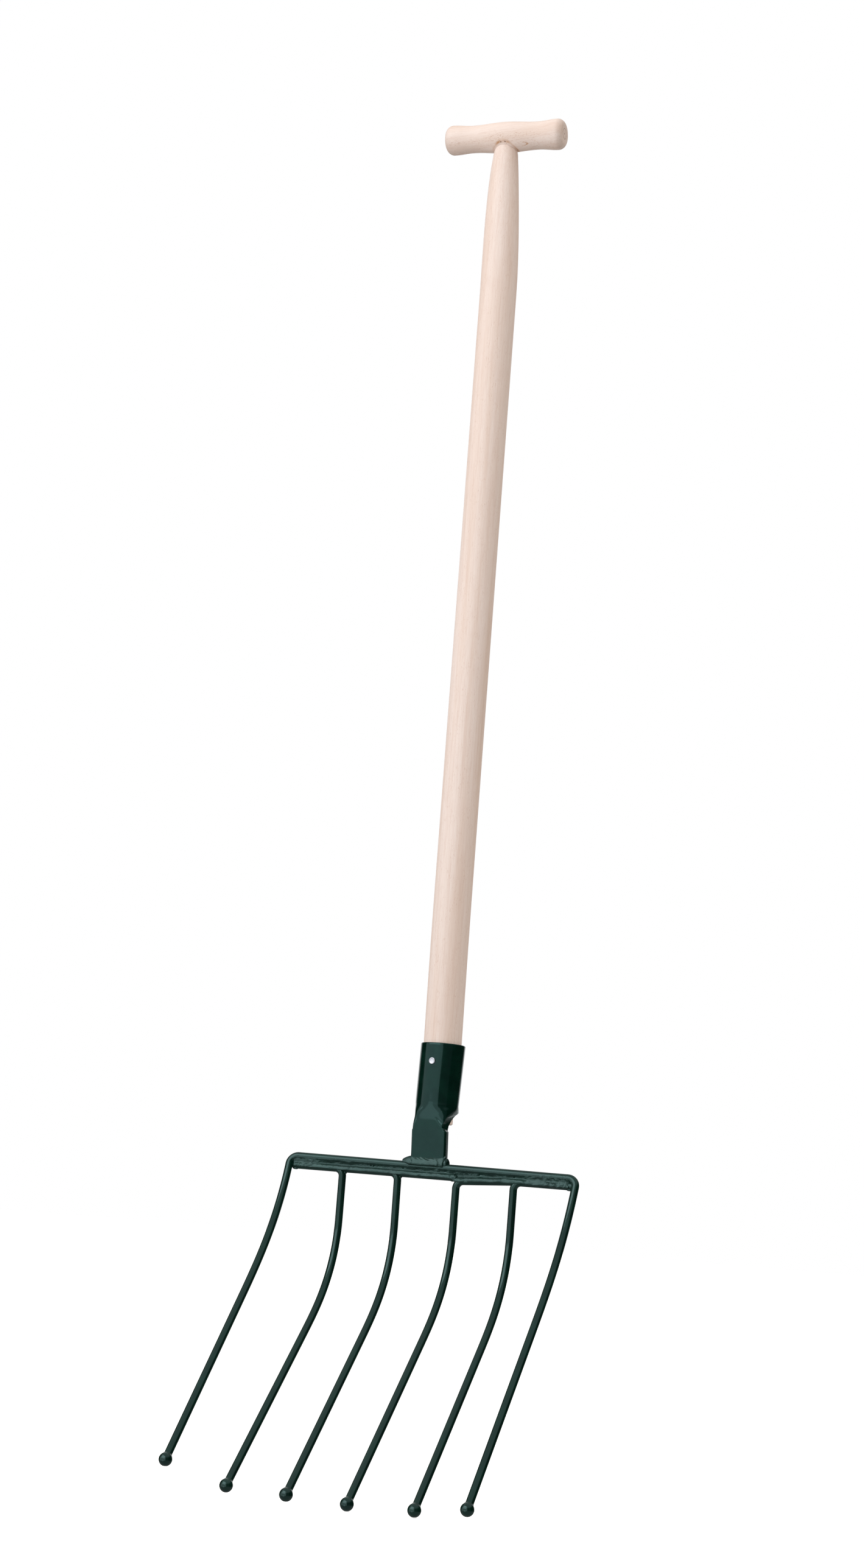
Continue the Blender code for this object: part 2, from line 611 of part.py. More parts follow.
def bead(name, left, right, forward, height, depth, tall, material=None, collection=None):
    """A rippled weld bead along X, half round towards the front and flat behind.

    Its thickness follows 1 + ripple * (0.6 sin(x / p) + 0.4 sin(0.62 x / p + 1.3)) and closes to a round end
    on either side.
    """
    count = max(8, int((right - left) / BEAD_STEP))
    along = np.linspace(left, right, count)
    middle = (left + right) / 2
    closed = np.clip(1.0 - np.abs((along - middle) / ((right - left) / 2)) ** (2 * count / 3.0), 0.0, 1.0)
    phase = 2 * math.pi * along / RIPPLE_PITCH
    thick = (1.0 + RIPPLE * (0.6 * np.sin(phase) + 0.4 * np.sin(0.62 * phase + 1.3))) * (0.45 + 0.55 * np.sqrt(closed))
    angles = np.linspace(-math.pi / 2, math.pi / 2, BEAD_SIDES)
    points = np.zeros((count, BEAD_SIDES, 3))
    points[..., 0] = along[:, None]
    points[..., 1] = -forward - depth * thick[:, None] * np.cos(angles)
    points[..., 2] = height + tall / 2 * thick[:, None] * np.sin(angles)
    faces = []
    for ring in range(count - 1):
        for side in range(BEAD_SIDES):
            here = ring * BEAD_SIDES
            after = (side + 1) % BEAD_SIDES
            faces.append((here + side, here + after, here + BEAD_SIDES + after, here + BEAD_SIDES + side))
    faces.append(tuple(range(BEAD_SIDES)))
    faces.append(tuple(range((count - 1) * BEAD_SIDES, count * BEAD_SIDES)))
    mesh = bpy.data.meshes.new(name)
    mesh.from_pydata([tuple(point) for point in points.reshape(-1, 3)], [], faces)
    work = bmesh.new()
    work.from_mesh(mesh)
    bmesh.ops.recalc_face_normals(work, faces=work.faces)
    work.to_mesh(mesh)
    work.free()
    smooth_by_angle(mesh, 60.0)
    return add_object(name, mesh, material, collection)


def block(name, low, high):
    """A box cutter between two corners."""
    mesh = bpy.data.meshes.new(name)
    work = bmesh.new()
    bmesh.ops.create_cube(work, size=1.0)
    size = [end - start for start, end in zip(low, high)]
    middle = [(end + start) / 2 for start, end in zip(low, high)]
    bmesh.ops.scale(work, vec=size, verts=work.verts)
    bmesh.ops.translate(work, vec=middle, verts=work.verts)
    work.to_mesh(mesh)
    work.free()
    return mark_cutter(add_object(name, mesh, collection=cutters))


def lump(name, place):
    """A drop of weld metal that is joined to a bead."""
    mesh = bpy.data.meshes.new(name)
    work = bmesh.new()
    bmesh.ops.create_uvsphere(work, u_segments=12, v_segments=8, radius=LUMP_DIAMETER / 2)
    work.to_mesh(mesh)
    work.free()
    item = mark_cutter(add_object(name, mesh, collection=cutters))
    item.location = place
    return item


def make_welds(enamel, rods):
    """The long seam in front of the two rows of rods, and the beads round the tongue's foot."""
    seam_height = LEG_HEIGHT / 2
    seam = bead("seam_weld", tine_place(1) + SEAM_BEAD_INSET, tine_place(TINE_COUNT) - SEAM_BEAD_INSET,
                BAR_FORWARD + SEAM_BEAD_FORWARD, seam_height, SEAM_BEAD_DEPTH, SEAM_BEAD_HEIGHT, enamel)
    for cutter in rods.values():
        combine(seam, cutter, "DIFFERENCE")

    left = TONGUE_SHIFT - TONGUE_WIDTH / 2
    right = TONGUE_SHIFT + TONGUE_WIDTH / 2
    foot = tongue_foot()
    tongue_room = block("clear_tongue", (left - GAP, -TONGUE_FORWARD - GAP, foot - GAP),
                        (right + GAP, GAP, RIM_HEIGHT))
    seam_top = seam_height + SEAM_BEAD_HEIGHT / 2 * (1.0 + RIPPLE) + GAP
    bead_height = seam_top + TONGUE_BEAD_HEIGHT / 2 * (1.0 + RIPPLE)
    front = bead("tongue_weld_front", left - TONGUE_BEAD_OVERHANG, right + TONGUE_BEAD_OVERHANG,
                 TONGUE_FORWARD - GAP, bead_height, TONGUE_BEAD_DEPTH, TONGUE_BEAD_HEIGHT, enamel)
    for name, across in (("lump_left", left - LUMP_OUTSETS[0]), ("lump_right", right + LUMP_OUTSETS[1])):
        place = (across, -TONGUE_FORWARD + LUMP_DIAMETER / 4, bead_height - LUMP_DROP)
        combine(front, lump(name, place), "UNION")
    combine(front, tongue_room, "DIFFERENCE")
    combine(front, rods["frame_rod"], "DIFFERENCE")

    inside = TONGUE_WIDTH / 2 - PLATE - 3 * GAP
    rear_forward = TONGUE_FORWARD - PLATE - GAP - REAR_BEAD_DEPTH
    rear = bead("tongue_weld_rear", TONGUE_SHIFT - inside, TONGUE_SHIFT + inside, rear_forward,
                foot + REAR_BEAD_HEIGHT / 4, REAR_BEAD_DEPTH / (1.0 + RIPPLE), REAR_BEAD_HEIGHT, enamel)
    combine(rear, rods["frame_rod"], "DIFFERENCE")


def stand_on_ground():
    """Moves everything so that the origin is the middle of the bottom of the parts' common box."""
    bpy.context.view_layer.update()
    graph = bpy.context.evaluated_depsgraph_get()
    low = np.full(3, np.inf)
    high = np.full(3, -np.inf)
    for item in parts.objects:
        seen = item.evaluated_get(graph)
        mesh = seen.to_mesh()
        points = np.array([seen.matrix_world @ vertex.co for vertex in mesh.vertices])
        seen.to_mesh_clear()
        low = np.minimum(low, points.min(axis=0))
        high = np.maximum(high, points.max(axis=0))
    stand.location = (-(low[0] + high[0]) / 2, -(low[1] + high[1]) / 2, -low[2])
    bpy.context.view_layer.update()


def main():
    global parts, cutters, stand
    clear_scene()
    parts = make_collection("pitchfork")
    cutters = make_collection("cutters")
    stand = bpy.data.objects.new("stand", None)
    bpy.context.scene.collection.objects.link(stand)

    beech = make_material("beech", (0.80, 0.64, 0.52), 0.55, 0.0)
    enamel = make_material("green_enamel", (0.012, 0.055, 0.042), 0.18, 0.0)
    zinc = make_material("zinc_plate", (0.76, 0.78, 0.82), 0.30, 1.0)
    pin_steel = make_material("pin_steel", (0.22, 0.16, 0.13), 0.50, 1.0)

    rods = make_head(enamel)
    socket = make_socket(enamel)
    shaft = make_handle(beech, pin_steel)
    make_nail(zinc)
    seat, outward = nail_frame()
    nail_hole = drill("nail_hole", seat + outward * NAIL_HEAD_DIAMETER, -outward,
                      NAIL_HEAD_DIAMETER + NAIL_LENGTH + GAP, NAIL_DIAMETER + 2 * GAP)
    combine(socket, nail_hole, "DIFFERENCE")
    combine(shaft, nail_hole, "DIFFERENCE")
    make_welds(enamel, rods)
    stand_on_ground()


main()
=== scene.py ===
"""Looks of a six-tined fork with ball tips, a pressed steel socket and a turned beech T-handle.

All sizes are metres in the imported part's frame. Shapes are worked out around the shaft's axis, with the upper
rod of the cross bar at height 0, and then moved to where the part stands.
"""
import logging
import math
from dataclasses import dataclass
from enum import Enum

import bmesh
import bpy
import numpy as np
from mathutils import Euler, Matrix, Vector


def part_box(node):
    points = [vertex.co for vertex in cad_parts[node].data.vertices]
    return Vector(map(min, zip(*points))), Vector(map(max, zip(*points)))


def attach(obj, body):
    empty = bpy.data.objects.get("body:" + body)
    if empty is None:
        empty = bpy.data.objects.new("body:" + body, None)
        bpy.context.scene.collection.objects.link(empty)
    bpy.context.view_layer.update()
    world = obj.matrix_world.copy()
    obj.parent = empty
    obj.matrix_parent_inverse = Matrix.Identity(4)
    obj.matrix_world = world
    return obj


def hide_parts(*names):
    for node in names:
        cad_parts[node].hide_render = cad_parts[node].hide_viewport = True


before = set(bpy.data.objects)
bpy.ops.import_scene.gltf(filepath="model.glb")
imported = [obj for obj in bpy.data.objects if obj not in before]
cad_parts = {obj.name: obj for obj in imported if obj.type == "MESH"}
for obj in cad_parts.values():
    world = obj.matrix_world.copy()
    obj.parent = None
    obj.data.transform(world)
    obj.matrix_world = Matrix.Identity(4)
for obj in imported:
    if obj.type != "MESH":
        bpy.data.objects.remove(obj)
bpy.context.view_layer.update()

MM = 0.001
SAME_POINT = 2e-6                   # metres between points that are merged
LOG = logging.getLogger("fork")

Tree = bpy.types.NodeTree
Node = bpy.types.Node
Output = bpy.types.NodeSocket
Array = np.ndarray
Pair = tuple[float, float]
Triple = tuple[float, float, float]
Colour = tuple[float, float, float, float]


class Slot(Enum):
    """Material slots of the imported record."""

    BEECH = "beech"
    ENAMEL = "green_enamel"
    ZINC = "zinc_plate"
    PIN = "pin_steel"


class Side(Enum):
    """A side as seen from the front."""

    LEFT = -1.0
    RIGHT = 1.0


# Small helpers for numbers and colours


def linear(code: str) -> Colour:
    """Turns an sRGB hex colour into linear RGBA.

    Args:
        code: Six hex digits after a hash sign.

    Returns:
        Red, green, blue and alpha.
    """
    parts = np.array([int(code[place:place + 2], 16) for place in (1, 3, 5)]) / 255.0
    curve = np.where(parts <= 0.04045, parts / 12.92, ((parts + 0.055) / 1.055) ** 2.4)
    return (*(float(part) for part in curve), 1.0)


def ease(value: Array, start: float, end: float) -> Array:
    """Smoothstep, 0 at start and 1 at end, level at both."""
    share = np.clip((np.asarray(value, float) - start) / (end - start), 0.0, 1.0)
    return share * share * (3.0 - 2.0 * share)


def bell(value: Array, width: float) -> Array:
    """Bell curve, 1 at value 0 and 1/e at the width."""
    return np.exp(-(value / width) ** 2)


def unit(vectors: Array) -> Array:
    """Vectors of length one along the last axis."""
    return vectors / np.maximum(np.linalg.norm(vectors, axis=-1, keepdims=True), 1e-12)


def roughness(seed: int, first: Array, second: Array) -> Array:
    """Smooth noise from -1 to 1 over two coordinates.

    Random values sit on a lattice of whole numbers and are mixed between its corners with a smoothstep.

    Args:
        seed: Seed of the lattice.
        first: First coordinate, one lattice cell per unit.
        second: Second coordinate, of the same shape.

    Returns:
        The noise at each place.
    """
    lattice = np.random.default_rng(seed).uniform(-1.0, 1.0, (128, 128))
    column, row = np.floor(first).astype(int), np.floor(second).astype(int)
    across, along = ease(first - column, 0.0, 1.0), ease(second - row, 0.0, 1.0)
    corner = [lattice[(row + down) % 128, (column + right) % 128] for down in (0, 1) for right in (0, 1)]
    upper = corner[0] + (corner[1] - corner[0]) * across
    lower = corner[2] + (corner[3] - corner[2]) * across
    return upper + (lower - upper) * along


def line_noise(seed: int, along: Array, step: float) -> Array:
    """Smooth noise from -1 to 1 over one coordinate, with a lattice of one step."""
    return roughness(seed, along / step, along * 0)


def arc(centre: Array, first: Array, second: Array, radius: float, count: int) -> Array:
    """A quarter circle about a centre, from one unit vector to the other."""
    turns = np.linspace(0.0, math.pi / 2, count)[:, None]
    return centre + radius * (np.cos(turns) * first + np.sin(turns) * second)


def tube(path: Array, radius: Array, sides: int, reference: Array) -> Array:
    """Rings of points round a path.

    Each ring stands square to the path. Its first direction is the cross product of the path's heading and a
    reference that no heading is parallel to, so the rings don't twist.

    Args:
        path: Points along the middle, one row each.
        radius: Radius at each point, or one row of radii for each ring.
        sides: Points in a ring.
        reference: The reference direction.

    Returns:
        An array of rings, points in a ring and coordinates.
    """
    heading = unit(np.gradient(path, axis=0))
    beside = unit(np.cross(heading, reference))
    over = np.cross(beside, heading)
    turns = 2 * math.pi * np.arange(sides) / sides
    rings = np.cos(turns)[None, :, None] * beside[:, None] + np.sin(turns)[None, :, None] * over[:, None]
    return path[:, None] + np.reshape(radius, (len(path), -1, 1)) * rings


def revolve(outline: Array, sides: int) -> Array:
    """Turns an outline round local Z.

    Args:
        outline: Rows of radius and height.
        sides: Points in a ring.

    Returns:
        An array of rings, points in a ring and coordinates.
    """
    turns = 2 * math.pi * np.arange(sides) / sides
    return np.stack([outline[:, :1] * np.cos(turns), outline[:, :1] * np.sin(turns),
                     np.repeat(outline[:, 1:], sides, axis=1)], axis=-1)


def turned_to(points: Array, direction: Vector, place: Array) -> Array:
    """Turns points so that local +Z runs along a direction, and moves them to a place."""
    turn = np.array(Vector((0.0, 0.0, 1.0)).rotation_difference(Vector(direction)).to_matrix())
    return points @ turn.T + np.asarray(place, float)


# The scene's pieces


def workshop_origin() -> Array:
    """Where the shaft's axis meets the cross bar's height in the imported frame, from the grip's box."""
    low, high = (np.array(corner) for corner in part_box("grip"))
    return (low + high) / 2 - np.array([Grip.shift, 0.0, Grip.height])


def mesh_of(name: str, grids: list[tuple[Array, bool]], sharp: float) -> bpy.types.Mesh:
    """Makes one mesh of grids of points.

    Args:
        name: Name of the mesh.
        grids: Each an array of rows, columns and coordinates, and whether its columns run round.
        sharp: Angle in degrees above which an edge stays sharp.

    Returns:
        The mesh, with doubles merged and faces pointing out.
    """
    points, quads, first = [], [], 0
    for grid, around in grids:
        rows, columns = grid.shape[:2]
        row = np.arange(rows - 1)[:, None]
        column = np.arange(columns if around else columns - 1)[None, :]
        after = (column + 1) % columns
        corners = [row * columns + column, row * columns + after, (row + 1) * columns + after,
                   (row + 1) * columns + column]
        quads.append(first + np.stack(corners, axis=-1).reshape(-1, 4))
        points.append(grid.reshape(-1, 3))
        first += rows * columns
    corner = np.concatenate(quads)
    place = np.concatenate(points)
    mesh = bpy.data.meshes.new(name)
    mesh.vertices.add(len(place))
    mesh.vertices.foreach_set("co", place.astype(np.float32).ravel())
    mesh.loops.add(corner.size)
    mesh.loops.foreach_set("vertex_index", corner.astype(np.int32).ravel())
    mesh.polygons.add(len(corner))
    mesh.polygons.foreach_set("loop_start", np.arange(0, corner.size, 4, dtype=np.int32))
    mesh.update(calc_edges=True)
    work = bmesh.new()
    work.from_mesh(mesh)
    bmesh.ops.remove_doubles(work, verts=work.verts, dist=SAME_POINT)
    bmesh.ops.recalc_face_normals(work, faces=work.faces)
    work.to_mesh(mesh)
    work.free()
    mesh.shade_smooth()
    mesh.set_sharp_from_angle(angle=math.radians(sharp))
    return mesh


@dataclass
class Bench:
    """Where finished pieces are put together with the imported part."""

    origin: Array
    count: int = 0

    def add(self, name: str, grids: list[tuple[Array, bool]], material: bpy.types.Material, slot: Slot,
            stands_for: tuple[str, ...], sharp: float = 40.0) -> bpy.types.Object:
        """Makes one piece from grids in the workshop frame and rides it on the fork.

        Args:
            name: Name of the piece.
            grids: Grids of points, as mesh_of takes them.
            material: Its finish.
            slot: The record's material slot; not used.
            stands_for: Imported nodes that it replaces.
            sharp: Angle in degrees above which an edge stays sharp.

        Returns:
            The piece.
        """
        mesh = mesh_of(name, [(grid + self.origin, around) for grid, around in grids], sharp)
        mesh.materials.append(material)
        piece = bpy.data.objects.new(name, mesh)
        bpy.context.scene.collection.objects.link(piece)
        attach(piece, "root")
        if stands_for:
            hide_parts(*stands_for)
        self.count += 1
        LOG.info("%s: %d faces", name, len(mesh.polygons))
        return piece

    def at(self, place: Triple) -> Vector:
        """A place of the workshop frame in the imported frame."""
        return Vector(self.origin + np.array(place))


# Finishes


def add_node(tree: Tree, kind: str, settings: dict | None = None, links: dict | None = None) -> Node:
    """Adds one shader node with its settings and its incoming links.

    Args:
        tree: The node tree.
        kind: The node's type.
        settings: Values by the name of a property, or by the name or place of an input.
        links: Output sockets by the name or place of the input that they go to.

    Returns:
        The node.
    """
    node = tree.nodes.new(kind)
    for key, value in (settings or {}).items():
        if isinstance(key, str) and hasattr(node, key):
            setattr(node, key, value)
        else:
            node.inputs[key].default_value = value
    for key, socket in (links or {}).items():
        tree.links.new(socket, node.inputs[key])
    return node


def start_material(name: str) -> tuple[bpy.types.Material, Tree, Node]:
    """Starts a material.

    Args:
        name: Its name.

    Returns:
        The material, its tree and its Principled shader.
    """
    material = bpy.data.materials.new(name)
    material.use_nodes = True
    tree = material.node_tree
    return material, tree, tree.nodes["Principled BSDF"]


@dataclass(frozen=True)
class Pattern:
    """A natural pattern of grains: a noise stretched to a real size, and the range in which it shows."""

    size: Triple                    # of a grain along the three coordinates, in their own unit
    shown: Pair                     # noise levels at which the pattern begins and is complete
    strength: Pair = (0.0, 1.0)     # values outside the pattern and where it is complete
    detail: float = 2.0             # finer octaves of the noise
    seed: float = 0.0               # shift that sets two patterns apart

    def on(self, tree: Tree, place: Output) -> Output:
        """Lays the pattern on coordinates.

        Args:
            tree: The node tree.
            place: The coordinates.

        Returns:
            The strength at each place.
        """
        scaled = add_node(tree, "ShaderNodeMapping",
                          {"Scale": tuple(1 / part for part in self.size), "Location": (self.seed,) * 3},
                          {"Vector": place}).outputs[0]
        noise = add_node(tree, "ShaderNodeTexNoise", {"Scale": 1.0, "Detail": self.detail},
                         {"Vector": scaled}).outputs["Fac"]
        return add_node(tree, "ShaderNodeMapRange",
                        {"interpolation_type": "SMOOTHSTEP", "From Min": self.shown[0],
                         "From Max": self.shown[1], "To Min": self.strength[0], "To Max": self.strength[1]},
                        {"Value": noise}).outputs["Result"]


def painted(tree: Tree, base: str, coats: list[tuple[Output, str]]) -> Output:
    """Lays colours over a base one after the other, each where its own pattern shows.

    Args:
        tree: The node tree.
        base: Hex colour underneath.
        coats: Pattern and hex colour of each layer.

    Returns:
        The colour at each place.
    """
    under = add_node(tree, "ShaderNodeRGB").outputs[0]
    under.default_value = linear(base)
    for shown, colour in coats:
        under = add_node(tree, "ShaderNodeMix", {"data_type": "RGBA", 7: linear(colour)},
                         {0: shown, 6: under}).outputs[2]
    return under


@dataclass(frozen=True)
class Beech:
    """Steamed beech, turned on a lathe and sanded, without varnish.

    The eye sees a pale pinkish wood with a dull surface, fine long fibres, and short darker dashes, the ends
    of its rays, which are 1 to 3 mm long and under half a millimetre wide. They are drawn a little wider, or
    they would not show. The patterns' sizes are millimetres, twice across the grain and then along it.
    """

    name: str
    centre: Vector                  # a point on the piece's own axis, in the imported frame
    turn: Euler                     # brings the grain on to Z
    rays: Pattern                   # the short dashes
    base: str = "#efe1da"
    warm: str = "#dfc6b5"
    fleck: str = "#bd8f73"
    stain: str = "#b98350"
    # darker end grain, and painted shade in the lathe's hollows and in the neck's crevice
    dark: str = "#5b4232"
    blotches: Pattern = Pattern((11.0, 11.0, 240.0), (0.35, 0.72), (0.0, 0.36), 2.0, 3.1)
    fibres: Pattern = Pattern((0.5, 0.5, 16.0), (0.35, 0.75), (0.0, 0.15), 3.0, 7.7)
    streaks: Pattern = Pattern((2.4, 2.4, 90.0), (0.45, 0.75), (0.0, 0.13), 2.0, 4.4)
    ray_patches: Pattern = Pattern((6.0, 6.0, 16.0), (0.36, 0.60), (0.15, 1.0), 1.0, 5.9)
    fibre_relief: float = 0.00006   # metres
    roughness: float = 0.62
    reflection: float = 0.35        # specular level, 0.5 for a smooth solid

    def material(self) -> bpy.types.Material:
        """Builds the material in millimetres along and across the grain.

        Returns:
            The material, which also reads the attributes flecks, stain and dark of its piece.
        """
        material, tree, shader = start_material(self.name)
        place = add_node(tree, "ShaderNodeTexCoord").outputs["Object"]
        grain = add_node(tree, "ShaderNodeMapping",
                         {"Scale": (1 / MM,) * 3, "Rotation": self.turn,
                          "Location": self.turn.to_matrix() @ self.centre * (-1 / MM)},
                         {"Vector": place}).outputs[0]
        blotch, fibre, streak, rays, patch = (
            layer.on(tree, grain)
            for layer in (self.blotches, self.fibres, self.streaks, self.rays, self.ray_patches))
        # The attribute dark carries darker end grain and painted shade; flecks carries painted light on the
        # grip's top.
        marks_and_painted_light = {name: add_node(tree, "ShaderNodeAttribute", {"attribute_name": name}).outputs["Fac"]
                 for name in ("flecks", "stain", "dark")}
        for share in (patch, marks_and_painted_light["flecks"]):
            rays = add_node(tree, "ShaderNodeMath", {"operation": "MULTIPLY"}, {0: rays, 1: share}).outputs[0]
        colour = painted(tree, self.base, [(blotch, self.warm), (streak, self.fleck), (fibre, self.fleck),
                                           (rays, self.fleck), (marks_and_painted_light["stain"], self.stain),
                                           (marks_and_painted_light["dark"], self.dark)])
        bump = add_node(tree, "ShaderNodeBump", {"Strength": 0.35, "Distance": self.fibre_relief},
                        {"Height": fibre})
        tree.links.new(colour, shader.inputs["Base Color"])
        tree.links.new(bump.outputs[0], shader.inputs["Normal"])
        shader.inputs["Roughness"].default_value = self.roughness
        shader.inputs["Specular IOR Level"].default_value = self.reflection
        return material


@dataclass(frozen=True)
class Enamel:
    """Dark green gloss enamel, baked on steel after welding.

    The eye sees an almost black green that takes its tone from what it reflects: the soft light's flat panel
    in teal grey, and the surroundings as thin pale rims. Their edges show a sprayed coat's slight swell.
    """

    name: str
    swell: float                    # width of the coat's waves, metres
    depth: float                    # height of the waves, metres
    gloss: Pair = (0.11, 0.17)      # least and most roughness
    drawn: float = 1.0              # how many times longer the waves are up the fork than across it
    index: float = 1.66             # index of refraction
    tint: Colour = (0.64, 1.0, 0.99, 1.0)       # of its reflections
    base: str = "#021b14"
    thick: str = "#04241b"
    pools: Pattern = Pattern((0.014,) * 3, (0.35, 0.70), seed=2.0)      # where the coat is thicker
    patch: float = 0.009            # size of a patch of even gloss, metres

    def material(self) -> bpy.types.Material:
        """Builds the material.

        Returns:
            The material.
        """
        material, tree, shader = start_material(self.name)
        place = add_node(tree, "ShaderNodeTexCoord").outputs["Object"]
        waves = Pattern((self.swell, self.swell, self.swell * self.drawn), (0.0, 1.0)).on(tree, place)
        pool = self.pools.on(tree, place)
        rough = Pattern((self.patch,) * 3, (0.3, 0.7), self.gloss).on(tree, place)
        bump = add_node(tree, "ShaderNodeBump", {"Strength": 1.0, "Distance": self.depth}, {"Height": waves})
        tree.links.new(painted(tree, self.base, [(pool, self.thick)]), shader.inputs["Base Color"])
        tree.links.new(bump.outputs[0], shader.inputs["Normal"])
        tree.links.new(rough, shader.inputs["Roughness"])
        shader.inputs["IOR"].default_value = self.index
        shader.inputs["Specular Tint"].default_value = self.tint
        return material


@dataclass(frozen=True)
class PlainMetal:
    """A metal with one pattern in its colour and one in its roughness."""

    name: str
    base: str
    spot: str
    spots: Pattern
    rough: Pattern
    metallic: float

    def material(self) -> bpy.types.Material:
        """Builds the material.

        Returns:
            The material.
        """
        material, tree, shader = start_material(self.name)
        place = add_node(tree, "ShaderNodeTexCoord").outputs["Object"]
        colour = painted(tree, self.base, [(self.spots.on(tree, place), self.spot)])
        tree.links.new(colour, shader.inputs["Base Color"])
        tree.links.new(self.rough.on(tree, place), shader.inputs["Roughness"])
        shader.inputs["Metallic"].default_value = self.metallic
        return material


@dataclass(frozen=True)
class Zinc(PlainMetal):
    """Bright zinc plate on a stamped nail: a white metal, satin from the die, with fine crystals."""

    name: str = "zinc_plate_stamped"
    base: str = "#d9dce4"
    spot: str = "#bfc4cc"
    spots: Pattern = Pattern((0.4 * MM,) * 3, (0.4, 0.7), (0.0, 0.3))
    rough: Pattern = Pattern((0.3 * MM,) * 3, (0.3, 0.7), (0.28, 0.42))
    metallic: float = 1.0


@dataclass(frozen=True)
class PinSteel(PlainMetal):
    """Thin drawn steel brads, browned by the wood's acid: dark, dull, a little uneven; the dark also paints
    their holes' shade.
    """

    name: str = "browned_brad_steel_and_hole_shade"
    base: str = "#6b4636"
    spot: str = "#3b271e"
    spots: Pattern = Pattern((0.5 * MM,) * 3, (0.4, 0.65))
    rough: Pattern = Pattern((0.4 * MM,) * 3, (0.3, 0.7), (0.45, 0.7))
    metallic: float = 0.6


def set_attribute(piece: bpy.types.Object, name: str, values: Array) -> None:
    """Stores one number for each point of a piece."""
    piece.data.attributes.new(name, "FLOAT", "POINT").data.foreach_set("value", values.astype(np.float32))


def points_of(piece: bpy.types.Object, origin: Array) -> Array:
    """A piece's points in the workshop frame.

    Args:
        piece: The piece.
        origin: The workshop frame's origin.

    Returns:
        One row for each point.
    """
    place = np.zeros(len(piece.data.vertices) * 3, np.float32)
    piece.data.vertices.foreach_get("co", place)
    return place.reshape(-1, 3).astype(float) - origin


# Handle


